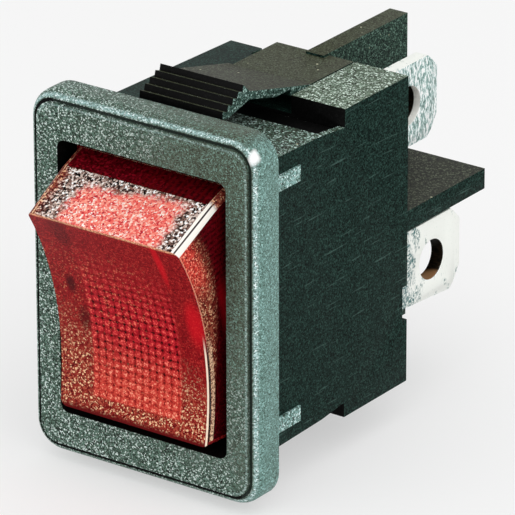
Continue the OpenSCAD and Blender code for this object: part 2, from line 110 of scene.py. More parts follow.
class Graph:
    """Adds shader nodes to a material and joins them. Patterns are in millimetres."""

    def __init__(self, name: str, tilted: bool = False) -> None:
        """Starts a material that holds only its output and a Principled shader.

        Args:
            name: Name of the material.
            tilted: Takes the coordinates about the rocker's pivot, level with its face.
        """
        self.material = bpy.data.materials.new(name)
        self.material.use_nodes = True
        self.tree = self.material.node_tree
        self.shader = self.tree.nodes["Principled BSDF"]
        mapping = self.add("Mapping")
        self.link(self.add("TexCoord").outputs["Object"], mapping.inputs["Vector"])
        mapping.inputs["Scale"].default_value = (1 / MM, 1 / MM, 1 / MM)
        if tilted:
            shift = (0, -PIVOT_Y * math.cos(TILT), PIVOT_Y * math.sin(TILT))
            mapping.inputs["Rotation"].default_value = (-TILT, 0, 0)
            mapping.inputs["Location"].default_value = shift
        self.place = mapping.outputs[0]
        self.x, self.y, self.z = self.split(self.place)

    def add(self, kind: str, **settings: object) -> bpy.types.Node:
        """Adds a node.

        Args:
            kind: Type of the node, without its ShaderNode prefix.
            **settings: Properties of the node, by name.

        Returns:
            The new node.
        """
        node = self.tree.nodes.new("ShaderNode" + kind)
        for key, value in settings.items():
            setattr(node, key, value)
        return node

    def split(self, vector: Socket) -> tuple[Socket, Socket, Socket]:
        """Takes a vector apart.

        Args:
            vector: The vector's socket.

        Returns:
            Sockets of its three parts.
        """
        node = self.add("SeparateXYZ")
        self.link(vector, node.inputs[0])
        return tuple(node.outputs)

    def facing(self) -> tuple[Socket, Socket, Socket]:
        """Returns the three parts of the surface's direction in the object's own axes."""
        return self.split(self.add("TexCoord").outputs["Normal"])

    def link(self, source: Socket, target: Socket) -> None:
        """Joins two sockets."""
        self.tree.links.new(source, target)

    def feed(self, socket: Socket, value: object) -> None:
        """Gives a socket either a constant or another node's output.

        Args:
            socket: The socket.
            value: Number, colour or output.
        """
        if isinstance(value, bpy.types.NodeSocket):
            self.link(value, socket)
        elif isinstance(value, tuple) and len(value) == 3 and socket.type == "RGBA":
            socket.default_value = (*value, 1.0)
        else:
            socket.default_value = value

    def math(self, operation: str, *values: object) -> Socket:
        """Works out a number.

        Args:
            operation: Name of the Math node's operation.
            *values: Numbers or sockets.

        Returns:
            The result's socket.
        """
        node = self.add("Math", operation=operation)
        for socket, value in zip(node.inputs, values):
            self.feed(socket, value)
        return node.outputs[0]

    def ramp(self, value: object, low: float, high: float, start: float = 0.0, end: float = 1.0) -> Socket:
        """Maps a range of a number smoothly onto another.

        Args:
            value: Number or socket.
            low: Value that gives start.
            high: Value that gives end.
            start: Result at low.
            end: Result at high.

        Returns:
            The result's socket.
        """
        node = self.add("MapRange", interpolation_type="SMOOTHSTEP")
        if low > high:
            low, high, start, end = high, low, end, start
        for socket, item in zip(node.inputs, (value, low, high, start, end)):
            self.feed(socket, item)
        return node.outputs[0]

    def times(self, *values: object) -> Socket:
        """Multiplies numbers.

        Args:
            *values: Sockets or numbers, a socket first.

        Returns:
            The product's socket.
        """
        result = values[0]
        for value in values[1:]:
            result = self.math("MULTIPLY", result, value)
        return result

    def span(self, value: Socket, low: float, high: float, soft: float = 0.15) -> Socket:
        """Returns 1 between two values and 0 outside them, with soft ends."""
        return self.times(self.ramp(value, low - soft, low + soft),
                          self.ramp(value, high + soft, high - soft))

    def away(self, first: Socket, second: Socket, corner: tuple[float, float]) -> Socket:
        """Returns the distance outside a rectangle centred on the axes.

        It is the length of what each coordinate's size exceeds the rectangle's half size by.

        Args:
            first: First coordinate.
            second: Second coordinate.
            corner: Half sizes of the rectangle.

        Returns:
            The distance's socket.
        """
        total = None
        for socket, half in zip((first, second), corner):
            over = self.math("MAXIMUM", self.math("SUBTRACT", self.math("ABSOLUTE", socket), half), 0.0)
            square = self.math("MULTIPLY", over, over)
            total = square if total is None else self.math("ADD", total, square)
        return self.math("SQRT", total)

    def specks(self, size: float, reach: float, share: float, seed: float = 0.0) -> Socket:
        """Scatters soft round specks.

        Args:
            size: Spacing of the places that may hold one, in millimetres.
            reach: Radius of a speck, as a share of the spacing.
            share: How many of the places hold one.
            seed: Offset that gives another pattern.

        Returns:
            The specks' socket.
        """
        chance, distance = self.cells(size, seed)
        return self.times(self.ramp(distance, reach, reach * 0.5),
                          self.ramp(chance, 1 - share, 1.05 - share))

    def spot(self, first: Socket, second: Socket, middle: tuple[float, float],
             reach: tuple[float, float]) -> Socket:
        """Returns a soft oval spot: 1 at its middle, 0 from its reach outwards.

        Args:
            first: First coordinate.
            second: Second coordinate.
            middle: Coordinates of the spot's middle.
            reach: Half widths of the spot.

        Returns:
            The spot's socket.
        """
        parts = []
        for socket, centre, half in zip((first, second), middle, reach):
            near = self.math("DIVIDE", self.math("SUBTRACT", socket, centre), half)
            parts.append(self.math("MULTIPLY", near, near))
        return self.ramp(self.math("ADD", *parts), 1.0, 0.0)

    def blend(self, share: object, first: object, second: object) -> Socket:
        """Mixes two colours.

        Args:
            share: How much of the second colour shows, 0 to 1.
            first: Colour or socket.
            second: Colour or socket.

        Returns:
            The mixed colour's socket.
        """
        node = self.add("Mix", data_type="RGBA")
        self.feed(node.inputs["Factor"], share)
        self.feed(node.inputs[6], first)
        self.feed(node.inputs[7], second)
        return node.outputs[2]

    def paint(self, colour: object, layer: object, *shares: Socket | float) -> Socket:
        """Lays one colour over another, as much as the product of the shares."""
        return self.blend(self.times(*shares), colour, layer)

    def noise(self, grain: float, detail: float = 2.0, rough: float = 0.5, seed: float = 0.0,
              stretch: tuple[float, float, float] = (1, 1, 1),
              turn: tuple[float, float, float] = (0, 0, 0)) -> Socket:
        """Adds a noise pattern.

        Args:
            grain: Size of its grains, in millimetres.
            detail: Number of finer layers.
            rough: Strength of the finer layers.
            seed: Offset that gives another pattern.
            stretch: Scale of the coordinates along each axis.
            turn: Turn of the coordinates, in radians.

        Returns:
            The pattern's socket, around 0.5.
        """
        vector = self.place
        if stretch != (1, 1, 1):
            mapping = self.add("Mapping")
            self.link(self.place, mapping.inputs["Vector"])
            mapping.inputs["Scale"].default_value = stretch
            mapping.inputs["Rotation"].default_value = turn
            vector = mapping.outputs[0]
        node = self.add("TexNoise", noise_dimensions="4D")
        self.link(vector, node.inputs["Vector"])
        node.inputs["W"].default_value = seed
        node.inputs["Scale"].default_value = 1 / grain
        node.inputs["Detail"].default_value = detail
        node.inputs["Roughness"].default_value = rough
        return node.outputs["Fac"]

    def cells(self, size: float, seed: float = 0.0) -> tuple[Socket, Socket]:
        """Adds a pattern of random cells.

        Args:
            size: Width of a cell, in millimetres.
            seed: Offset that gives another pattern.

        Returns:
            Sockets of each cell's random value and of the distance to its middle.
        """
        node = self.add("TexVoronoi", voronoi_dimensions="4D", feature="F1")
        self.link(self.place, node.inputs["Vector"])
        node.inputs["W"].default_value = seed
        node.inputs["Scale"].default_value = 1 / size
        split = self.add("SeparateColor")
        self.link(node.outputs["Color"], split.inputs[0])
        return split.outputs[0], node.outputs["Distance"]

    def tones(self, value: Socket, tones: Tones, gain: float = 1.0) -> Socket:
        """Spreads five tones, dark to light, over an evenly spread value.

        Args:
            value: Number from 0 to 1.
            tones: The five colours.
            gain: Number that multiplies them.

        Returns:
            The colour's socket.
        """
        node = self.add("ValToRGB")
        elements = node.color_ramp.elements
        places = (0.05, 0.22, 0.5, 0.78, 0.95)
        while len(elements) < len(tones):
            elements.new(0.5)
        for element, place, tone in zip(elements, places, tones):
            element.position = place
            element.color = (*(min(c * gain, 1.0) for c in tone), 1.0)
        self.link(value, node.inputs[0])
        return node.outputs[0]

    def bump(self, height: Socket, depth: float) -> Socket:
        """Turns a height into a normal.

        Args:
            height: Socket from 0 to 1.
            depth: Height of 1, in millimetres.

        Returns:
            The normal's socket.
        """
        node = self.add("Bump")
        node.inputs["Distance"].default_value = depth * MM
        self.link(height, node.inputs["Height"])
        return node.outputs[0]

    def finish(self, colour: object, roughness: object, normal: Socket | None = None,
               **sockets: object) -> bpy.types.Material:
        """Sets the shader and returns the material.

        Args:
            colour: Base colour or socket.
            roughness: Roughness or socket.
            normal: Normal socket.
            **sockets: Other sockets of the shader, with _ for spaces.

        Returns:
            The finished material.
        """
        self.feed(self.shader.inputs["Base Color"], colour)
        self.feed(self.shader.inputs["Roughness"], roughness)
        if normal is not None:
            self.link(normal, self.shader.inputs["Normal"])
        for name, value in sockets.items():
            self.feed(self.shader.inputs[name.replace("_", " ")], value)
        return self.material


# ---- Finishes ----


@dataclass(frozen=True)
class SpeckledPlastic:
    """Black nylon whose grain catches the light in specks, with a little dust."""

    name: str
    tones: Tones
    cell: float = 0.08
    speckle: float = 0.0
    dust: Colour = (0.7, 0.7, 0.5)
    roughness: float = 0.6
    specular: float = 0.1
    depth: float = 0.01

    def build(self) -> bpy.types.Material:
        """Lays out random tones per grain, sparse dust and a matching bump.

        Returns:
            The material.
        """
        graph = Graph(self.name)
        value, _ = graph.cells(self.cell)
        colour = graph.tones(value, self.tones)
        if self.speckle:
            colour = graph.blend(graph.specks(0.26, 0.3, self.speckle, 7.0), colour, self.dust)
        return graph.finish(colour, self.roughness, graph.bump(graph.noise(self.cell, 1.0), self.depth),
                            Specular_IOR_Level=self.specular)


@dataclass(frozen=True)
class FrameGrain:
    """Spark-eroded face of the front frame, with painted highlight on its rounded edge at the top and right
    and painted shade in its groove.
    """

    name: str = "frame_grain_and_painted_light"
    half: tuple[float, float] = (7.5, 10.5)
    corner: float = 1.7
    gain: float = 0.86
    smooth: Tones = ((0.035, 0.035, 0.024), (0.074, 0.086, 0.060), (0.090, 0.125, 0.090),
                     (0.115, 0.182, 0.136), (0.216, 0.363, 0.307))
    coarse: Tones = ((0.0, 0.0, 0.0), (0.040, 0.066, 0.048), (0.078, 0.138, 0.10), (0.17, 0.29, 0.23),
                     (0.85, 1.0, 0.95))
    painted_highlight: Tones = ((0.10, 0.16, 0.14), (0.19, 0.30, 0.27), (0.28, 0.44, 0.42), (0.42, 0.63, 0.62),
                     (0.9, 1.0, 1.0))
    lit_flank: Tones = ((0.05, 0.09, 0.07), (0.116, 0.20, 0.17), (0.145, 0.26, 0.23), (0.185, 0.33, 0.30),
                    (0.35, 0.58, 0.55))
    groove: Colour = (0.006, 0.012, 0.009)

    def build(self) -> bpy.types.Material:
        """Lays out grain by place, a paler right flank and a bright rounding as painted light, and a dark
        groove as painted shade.

        Returns:
            The material.
        """
        graph = Graph(self.name)
        value, _ = graph.cells(0.07)
        fine, _ = graph.cells(0.065, 3.0)
        # Coarse grain on the left and at the bottom gives way to a finer one.
        drift = graph.math("ADD", graph.times(graph.x, 0.10), graph.times(graph.z, 0.035))
        drift = graph.math("ADD", drift, graph.math("SUBTRACT", graph.noise(3.0, 1.0, 0.5, 9.0), 0.5))
        colour = graph.blend(graph.ramp(drift, 0.75, -0.1), graph.tones(fine, self.smooth, self.gain),
                             graph.tones(value, self.coarse, self.gain))
        inner = (self.half[0] - self.corner, self.half[1] - self.corner)
        inset = graph.math("SUBTRACT", self.corner, graph.away(graph.x, graph.z, inner))
        # Painted highlight on the rounded edge, on the right and at the top, outside its groove.
        lit_side = graph.math("MAXIMUM", graph.ramp(graph.x, 5.0, 6.4), graph.ramp(graph.z, 8.4, 9.6))
        # Painted light makes the right flank of the frame paler.
        colour = graph.paint(colour, graph.tones(fine, self.lit_flank),
                             graph.ramp(inset, 0.22, 0.1), graph.ramp(graph.x, 6.0, 7.2))
        painted_highlight = graph.tones(fine, self.painted_highlight)
        colour = graph.paint(colour, painted_highlight, graph.span(inset, 0.15, 0.33, 0.06),
                             graph.ramp(graph.y, -1.0, -1.4),
                             graph.math("ADD", graph.times(lit_side, 0.85), 0.1))
        # A painted white highlight at the upper right corner.
        colour = graph.paint(colour, (1.0, 1.0, 1.0), graph.spot(graph.x, graph.z, (7.12, 9.75), (0.33, 0.6)),
                             graph.ramp(graph.y, -1.2, -1.5))
        # Painted shade darkens the groove, and a painted highlight lies on a thin lip inside it.
        colour = graph.paint(colour, self.groove, graph.span(inset, 0.40, 0.585, 0.03),
                             graph.ramp(graph.y, -1.5, -1.6),
                             graph.math("ADD", graph.times(lit_side, 0.75), 0.2))
        colour = graph.paint(colour, painted_highlight, graph.span(inset, 0.66, 0.76, 0.05),
                             graph.ramp(graph.y, -1.8, -1.9), lit_side, 0.4)
        normal = graph.bump(graph.noise(0.10, 2.0), 0.010)
        return graph.finish(colour, 0.5, normal, Specular_IOR_Level=0.15)


@dataclass(frozen=True)
class SmoothSide:
    """Smooth black sides of the body with fine scratches and specks of dust."""

    name: str = "smooth_side"
    gain: float = 0.85
    tones: Tones = ((0.001, 0.004, 0.003), (0.005, 0.015, 0.012), (0.009, 0.025, 0.020),
                    (0.015, 0.038, 0.030), (0.030, 0.075, 0.060))
    dust: Colour = (0.35, 0.62, 0.54)

    def build(self) -> bpy.types.Material:
        """Lays out mottled dark tones, dots of dust and slanted scratches.

        Returns:
            The material.
        """
        graph = Graph(self.name)
        value, _ = graph.cells(0.07)
        base = graph.tones(value, self.tones, self.gain)
        lower = graph.ramp(graph.math("ADD", graph.z, graph.times(graph.y, -0.25)), 0.5, -7.5, 0.045, 0.16)
        chance, distance = graph.cells(0.22, 6.0)
        dots = graph.times(graph.ramp(distance, 0.34, 0.15),
                           graph.math("LESS_THAN", chance, lower), graph.ramp(chance, 0.0, 0.12, 1.0, 0.3))
        marks = graph.noise(1.0, 1.0, 0.4, 2.0, (0.5, 0.42, 7.0), (0.55, 0.0, 0.0))
        marks = graph.times(graph.ramp(marks, 0.64, 0.74), 0.10)
        colour = graph.blend(graph.math("MAXIMUM", dots, marks), base, self.dust)
        normal = graph.bump(graph.noise(0.6, 3.0, 0.6, 4.0), 0.004)
        return graph.finish(colour, 0.5, normal, Specular_IOR_Level=0.03)


@dataclass(frozen=True)
class EdgeShine:
    """Edges of the black mouldings, with a painted highlight where they face up or to the right."""

    name: str = "edge_shine"
    pale: Colour = (0.80, 0.95, 0.86)
    dark: Colour = (0.015, 0.035, 0.028)

    def build(self) -> bpy.types.Material:
        """Lays out pale broken lines of painted highlight on upper and right-hand edges.

        Returns:
            The material.
        """
        graph = Graph(self.name)
        across, _, up = graph.facing()
        # Painted highlight, stronger the more the edge faces up or to the right.
        lean = graph.math("ADD", up, graph.times(across, 0.7))
        value, _ = graph.cells(0.12, 2.0)
        facing = graph.times(graph.ramp(lean, 0.2, 0.6), graph.ramp(value, 0.02, 0.5, 0.45, 1.0))
        colour = graph.blend(facing, self.dark, self.pale)
        return graph.finish(colour, 0.45, graph.bump(value, 0.002), Specular_IOR_Level=0.1)


class Lens:
    """Translucent red polycarbonate of the rocker, one finish for each kind of surface.

    The light filter inside shows as a waffle of painted light, and the coarse grain of the surface is
    painted pale, as painted reflection, where nothing behind it is red.
    """

    deep: Tones = ((0.130, 0.003, 0.005), (0.205, 0.004, 0.007), (0.25, 0.006, 0.009), (0.31, 0.009, 0.012),
                   (0.47, 0.030, 0.025))
    lattice: Tones = ((0.10, 0.001, 0.002), (0.26, 0.004, 0.008), (0.40, 0.009, 0.018), (0.62, 0.022, 0.032),
                      (0.95, 0.12, 0.10))
    lower: Tones = ((0.218, 0.008, 0.009), (0.476, 0.028, 0.022), (0.664, 0.056, 0.040), (0.866, 0.11, 0.078),
                    (0.986, 0.36, 0.24))
    speckle: Tones = ((0.10, 0.004, 0.005), (0.22, 0.012, 0.012), (0.31, 0.028, 0.020), (0.48, 0.10, 0.055),
                    (1.0, 0.66, 0.38))
    pink: Tones = ((0.50, 0.008, 0.03), (0.84, 0.10, 0.095), (0.96, 0.25, 0.19), (1.0, 0.52, 0.40),
                   (1.0, 0.98, 0.90))
    reflection_glints: Tones = ((0.0, 0.0, 0.0), (0.03, 0.014, 0.012), (0.25, 0.14, 0.11), (0.80, 0.66, 0.58),
                    (1.0, 1.0, 1.0))
    gold: Tones = ((0.050, 0.002, 0.003), (0.131, 0.012, 0.010), (0.222, 0.034, 0.022), (0.38, 0.10, 0.055),
                   (0.85, 0.50, 0.28))
    shade: Tones = ((0.018, 0.0, 0.0), (0.029, 0.0, 0.001), (0.043, 0.0, 0.002), (0.07, 0.001, 0.003),
                    (0.114, 0.002, 0.006))
    support_shade = (0.02, 0.001, 0.002)
    glow = (0.72, 0.006, 0.016)
    crease = (0.006, 0.001, 0.001)
    half_front = 4.92
    half_back = 5.06
    front_u = -4.69
    back_u = 0.3
    supports = (((-3.68, 1.3), (0.42, 0.8), 0.75), ((-3.15, -0.8), (0.55, 1.0), 0.55),
                ((-3.2, 5.2), (0.9, 1.5), 0.45))
    glows = (((3.22, 5.0), (0.32, 2.4)), ((4.4, 0.9), (0.75, 1.9)))

    def waffle(self, graph: Graph, first: Socket, second: Socket) -> tuple[Socket, Socket]:
        """Draws the cells of the waffle: each side is the size of a sine's half wave.

        Args:
            graph: Graph of the material.
            first: Coordinate across.
            second: Coordinate along.

        Returns:
            Sockets of the lit middles and of the dark crossings.
        """
        waves = [
            graph.math("ABSOLUTE", graph.math("SINE", graph.times(socket, math.pi / WAFFLE_PITCH)))
            for socket in (first, second)
        ]
        lit = graph.times(*waves)
        low = graph.times(*(graph.math("SUBTRACT", 1.0, wave) for wave in waves))
        return graph.ramp(lit, 0.02, 0.8), graph.ramp(low, 0.34, 0.6)

    def aside(self, graph: Graph) -> Socket:
        """Measures how far a point lies inside the rocker's tapered sides.

        Args:
            graph: Graph of the material, in the rocker's coordinates.

        Returns:
            The distance's socket.
        """
        taper = (self.half_back - self.half_front) / (self.back_u - self.front_u)
        half = graph.math("ADD", graph.times(graph.y, taper), self.half_back - self.back_u * taper)
        return graph.math("SUBTRACT", half, graph.math("ABSOLUTE", graph.x))

    def behind(self, graph: Graph) -> Socket:
        """Measures how far a point lies behind the cylinder of the finger hollow.

        Args:
            graph: Graph of the material, in the rocker's coordinates.

        Returns:
            The distance's socket.
        """
        square = graph.math("SUBTRACT", HOLLOW_R ** 2, graph.times(graph.z, graph.z))
        hollow = graph.math("SUBTRACT", graph.math("SQRT", square), -HOLLOW_U)
        return graph.math("SUBTRACT", graph.y, hollow)

    def face(self) -> bpy.types.Material:
        """Lays out the finish of the finger hollow.

        Returns:
            The material.
        """
        graph = Graph("lens_face", tilted=True)
        grain, _ = graph.cells(0.07)
        grit, _ = graph.cells(0.08, 4.0)
        colour = graph.tones(grain, self.deep)
        # The light filter shows through as lit squares of painted light, with painted shade in the small
        # holes between them.
        lit, crossing = self.waffle(graph, graph.x, graph.z)
        window = graph.times(graph.span(graph.x, -2.8, 3.05, 0.12), graph.ramp(graph.z, -5.35, -5.15))
        strength = graph.times(window, graph.ramp(graph.z, 5.0, -0.5))
        level = graph.math("ADD", graph.times(lit, 0.42), graph.times(grit, 0.6))
        squares = graph.blend(graph.ramp(graph.z, -1.0, -4.6), graph.tones(level, self.lattice),
                              graph.tones(level, self.lower))
        squares = graph.paint(squares, (0.004, 0.0, 0.0), crossing, graph.ramp(grain, 0.0, 0.35, 0.4, 1.0),
                              graph.ramp(graph.z, -5.2, -2.2), graph.ramp(graph.z, 4.2, 1.2))
        colour = graph.blend(strength, colour, squares)
        # Pale speckle lies outside the filter, more of it lower down.
        slope = graph.math("ADD", graph.z, graph.times(graph.x, 0.25))
        colour = graph.paint(colour, graph.tones(grit, self.speckle),
                             graph.math("SUBTRACT", 1.0, graph.times(window, 0.85)),
                             graph.ramp(slope, -0.2, -4.8))
        colour = graph.paint(colour, (0.80, 0.28, 0.14), graph.ramp(grit, 0.90, 0.98),
                             graph.span(graph.z, -1.0, 3.8, 1.2), graph.ramp(graph.x, 3.2, 0.2), 0.55)
        # Painted shade where the lamp's supports stand behind the cap, and painted glow on its ribs.
        for middle, reach, depth in self.supports:
            colour = graph.paint(colour, self.support_shade, graph.spot(graph.x, graph.z, middle, reach), depth)
        for middle, reach in self.glows:
            colour = graph.paint(colour, self.glow, graph.spot(graph.x, graph.z, middle, reach), 0.6)
        # Painted shade darkens the bottom edge, and a painted highlight runs along the top ridge.
        colour = graph.paint(colour, (0.12, 0.005, 0.006), graph.ramp(graph.z, -5.8, -6.15))
        colour = graph.paint(colour, (0.90, 0.46, 0.26), graph.ramp(graph.z, 5.98, 6.1),
                             graph.ramp(grit, 0.2, 0.7, 0.25, 1.0))
        # A painted highlight line and a dark crease line run down the lower right edge.
        aside = self.aside(graph)
        low = graph.times(graph.ramp(graph.x, 3.0, 4.0), graph.ramp(graph.z, 0.4, -1.2))
        colour = graph.paint(colour, (1.0, 0.84, 0.66), graph.span(aside, 0.10, 0.22, 0.03), low)
        colour = graph.paint(colour, self.crease, graph.ramp(aside, 0.09, 0.07), low)
        normal = graph.bump(graph.noise(0.09, 1.0), 0.006)
        return graph.finish(colour, 0.45, normal, Specular_IOR_Level=0.03)

    def end(self) -> bpy.types.Material:
        """Lays out the finish of the sloping ends: painted reflection glints outside the lit middle.

        Returns:
            The material.
        """
        graph = Graph("lens_end", tilted=True)
        coarse, _ = graph.cells(0.115)
        fine, _ = graph.cells(0.10, 2.0)
        lit, _ = self.waffle(graph, graph.x, graph.y)
        pink = graph.tones(fine, self.pink)
        redder = graph.times(graph.math("SUBTRACT", 1.0, lit), graph.ramp(graph.x, -2.5, 0.5, 0.1, 0.4))
        pink = graph.blend(redder, pink, (0.82, 0.10, 0.08))
        # The lit middle ends in a ragged border.
        edge = graph.times(graph.math("SUBTRACT", graph.noise(0.6, 1.0, 0.5, 3.0), 0.5), 1.2)
        across = graph.math("ADD", graph.x, edge)
        along = graph.math("ADD", graph.y, edge)
        back = graph.ramp(graph.math("SUBTRACT", along, graph.times(graph.x, 0.12)), -1.6, -2.2)
        colour = graph.paint(graph.tones(coarse, self.reflection_glints), pink, graph.span(across, -3.0, 3.55, 0.3), back)
        colour = graph.paint(colour, graph.tones(coarse, self.gold), graph.ramp(across, -3.9, -4.6))
        colour = graph.paint(colour, graph.tones(fine, self.deep), graph.ramp(graph.z, 1.0, -1.0))
        return graph.finish(colour, 0.5, graph.bump(graph.noise(0.12, 1.0), 0.012), Specular_IOR_Level=0.05)

    def side(self) -> bpy.types.Material:
        """Lays out the finish of the long sides: pink at the top, gold along the rim, dark behind as painted
        shade.

        Returns:
            The material.
        """
        graph = Graph("lens_side", tilted=True)
        grain, _ = graph.cells(0.085)
        base = graph.tones(grain, self.shade)
        stripes = graph.ramp(graph.math("SINE", graph.times(graph.z, 2 * math.pi / 0.33)), -0.4, 0.6)
        base = graph.paint(base, (0.16, 0.002, 0.006), stripes, 0.4, graph.ramp(graph.z, 0.8, 2.0))
        base = graph.paint(base, (0.48, 0.003, 0.012), graph.span(graph.z, -0.5, 2.2, 0.9),
                           graph.span(graph.y, -1.9, -0.4, 0.3), 0.8)
        # Gold grain lies along the hollow's rim, in a strip that widens upwards.
        depth = self.behind(graph)
        wide = graph.ramp(graph.z, -4.5, 5.5, 0.4, 2.2)
        gold = graph.tones(grain, self.gold)
        colour = graph.paint(base, gold, graph.ramp(graph.math("DIVIDE", depth, wide), 1.0, 0.45))
        colour = graph.paint(colour, graph.tones(grain, self.lower),
                             graph.ramp(graph.z, 2.0, 4.4), graph.ramp(depth, 1.6, 0.7))
        colour = graph.paint(colour, (0.85, 0.30, 0.18), graph.ramp(depth, 0.10, 0.05),
                             graph.ramp(graph.z, -0.5, 1.0), 0.7)
        # The crease and a pale strip follow the rim lower down.
        low = graph.ramp(graph.z, 0.4, -1.2)
        colour = graph.paint(colour, self.crease, graph.ramp(depth, 0.06, 0.04), low)
        colour = graph.paint(colour, (1.0, 0.66, 0.42), graph.span(depth, 0.08, 0.38, 0.04), low,
                             graph.ramp(grain, 0.1, 0.8, 0.15, 1.0))
        return graph.finish(colour, 0.5, graph.bump(graph.noise(0.1, 1.0), 0.008), Specular_IOR_Level=0.03)

    def skirt(self) -> bpy.types.Material:
        """Lays out the finish of the round skirt, dark with faint ribs seen through it.

        Returns:
            The material.
        """
        graph = Graph("lens_skirt", tilted=True)
        grain, _ = graph.cells(0.12)
        ribs = graph.ramp(graph.math("SINE", graph.times(graph.x, 2 * math.pi / 0.38)), -0.5, 0.7)
        base = graph.blend(graph.ramp(graph.x, -1.0, 3.5), graph.tones(grain, self.shade, 1.9),
                           graph.tones(grain, self.shade, 0.9))
        colour = graph.paint(base, (0.13, 0.001, 0.003), ribs, 0.5, graph.span(graph.x, -0.2, 4.6, 0.6))
        return graph.finish(colour, 0.45, graph.bump(grain, 0.003), Specular_IOR_Level=0.03)

    def rim(self) -> bpy.types.Material:
        """Lays out the finish of the rounded edges: painted highlight on the right, with the mould's parting
        line.

        Returns:
            The material.
        """
        graph = Graph("lens_rim", tilted=True)
        grain, _ = graph.cells(0.11)
        across, _, _ = graph.facing()
        seam = graph.span(across, 0.50, 0.66, 0.03)
        bright = graph.blend(seam, (1.0, 0.95, 0.88), (0.015, 0.002, 0.003))
        plain = graph.tones(grain, self.gold)
        # Painted highlight on the ridges, broken by the grain.
        ridge = graph.blend(graph.ramp(grain, 0.2, 0.6), (0.35, 0.06, 0.035), (1.0, 0.70, 0.42))
        colour = graph.paint(plain, ridge, graph.ramp(graph.math("ABSOLUTE", across), 0.25, 0.12))
        # Painted highlight on the right-hand edges, split by a dark parting line.
        colour = graph.paint(colour, bright, graph.ramp(graph.x, 3.9, 4.3), graph.ramp(graph.y, -0.9, -1.3))
        colour = graph.paint(colour, graph.tones(grain, self.deep, 0.8), graph.ramp(graph.z, -5.4, -5.8))
        return graph.finish(colour, 0.35, Specular_IOR_Level=0.2)


@dataclass(frozen=True)
class TinPlate:
    """Bright tin over brass, with dark patches towards the body and grey streaks on its broad faces."""

    name: str
    mottled: float
    grey: Tones = ((0.004, 0.09, 0.07), (0.12, 0.29, 0.27), (0.46, 0.64, 0.62), (0.93, 0.97, 0.96),
                   (1.0, 1.0, 1.0))

    def build(self) -> bpy.types.Material:
        """Lays out pale tin, dark streaked patches near the body, fine scratches.

        Returns:
            The material.
        """
        graph = Graph(self.name)
        patch = graph.noise(0.55, 4.0, 0.7, 1.0, (1, 1, 0.45))
        root = graph.ramp(graph.y, 17.0, 13.4)
        low = graph.ramp(graph.z, -3.4, -5.2)
        reach = graph.math("ADD", graph.times(root, 0.22), graph.times(low, 0.06))
        dark_patch = graph.ramp(graph.math("ADD", patch, reach), 0.60, 0.72)
        fleck = graph.ramp(graph.noise(0.10, 2.0, 0.6, 2.0, (1, 1, 0.5)), 0.60, 0.68)
        colour = graph.blend(graph.times(fleck, 0.35), (0.93, 0.95, 0.90), (0.60, 0.68, 0.60))
        colour = graph.paint(colour, (0.03, 0.15, 0.15), dark_patch,
                             graph.ramp(graph.noise(0.14, 2.0, 0.6, 6.0), 0.35, 0.6))
        streak = graph.noise(0.11, 2.0, 0.6, 5.0, (1, 1, 0.4))
        side = graph.ramp(graph.math("ABSOLUTE", graph.facing()[0]), 0.6, 0.9)
        grey = graph.tones(graph.ramp(streak, 0.33, 0.67), self.grey)
        colour = graph.paint(colour, grey, side, self.mottled)
        rough = graph.ramp(patch, 0.3, 0.7, 0.35, 0.5)
        normal = graph.bump(graph.noise(0.12, 2.0, 0.5, 3.0, (1, 1, 0.15)), 0.003)
        return graph.finish(colour, rough, normal, Metallic=0.6)


@dataclass(frozen=True)
class CutBrass:
    """Brass that shows where the strip was punched, painted dark as shade away from the edge."""

    name: str
    rim_x: float

    def build(self) -> bpy.types.Material:
        """Lays out tin drawn over the edge, then brass darkened by painted shade, with painted light at the
        bottom where it faces up.

        Returns:
            The material.
        """
        graph = Graph(self.name)
        streak = graph.noise(0.08, 2.0, 0.6, 1.0, (0.3, 1, 1))
        colour = graph.blend(graph.ramp(streak, 0.35, 0.7), (0.002, 0.002, 0.001), (0.02, 0.012, 0.006))
        # Faces that point up get bright brass as painted light.
        up = graph.facing()[2]
        colour = graph.blend(graph.ramp(up, 0.75, 0.95), colour, (0.42, 0.22, 0.10))
        colour = graph.blend(graph.ramp(graph.x, self.rim_x, self.rim_x + 0.06), colour, (0.95, 0.95, 0.90))
        return graph.finish(colour, 0.5, graph.bump(streak, 0.006), Metallic=0.4, Specular_IOR_Level=0.1)


@dataclass(frozen=True)
class Metal:
    """Bare metal with drawing or rolling marks along one axis."""

    name: str
    bright: Colour
    dull: Colour
    roughness: float = 0.32
    stretch: tuple[float, float, float] = (1.0, 1.0, 0.12)

    def build(self) -> bpy.types.Material:
        """Lays out drawn or rolled streaks, blurred by a soft cloud of duller metal.

        Returns:
            The material.
        """
        graph = Graph(self.name)
        marks = graph.noise(0.07, 2.0, 0.6, 1.0, self.stretch)
        cloud = graph.noise(1.4, 3.0, 0.6, 4.0)
        mix = graph.math("ADD", graph.times(marks, 0.5), graph.times(cloud, 0.5))
        colour = graph.blend(graph.ramp(mix, 0.38, 0.62), self.dull, self.bright)
        rough = graph.ramp(cloud, 0.3, 0.7, self.roughness * 0.8, self.roughness * 1.3)
        return graph.finish(colour, rough, graph.bump(marks, 0.003), Metallic=1.0)


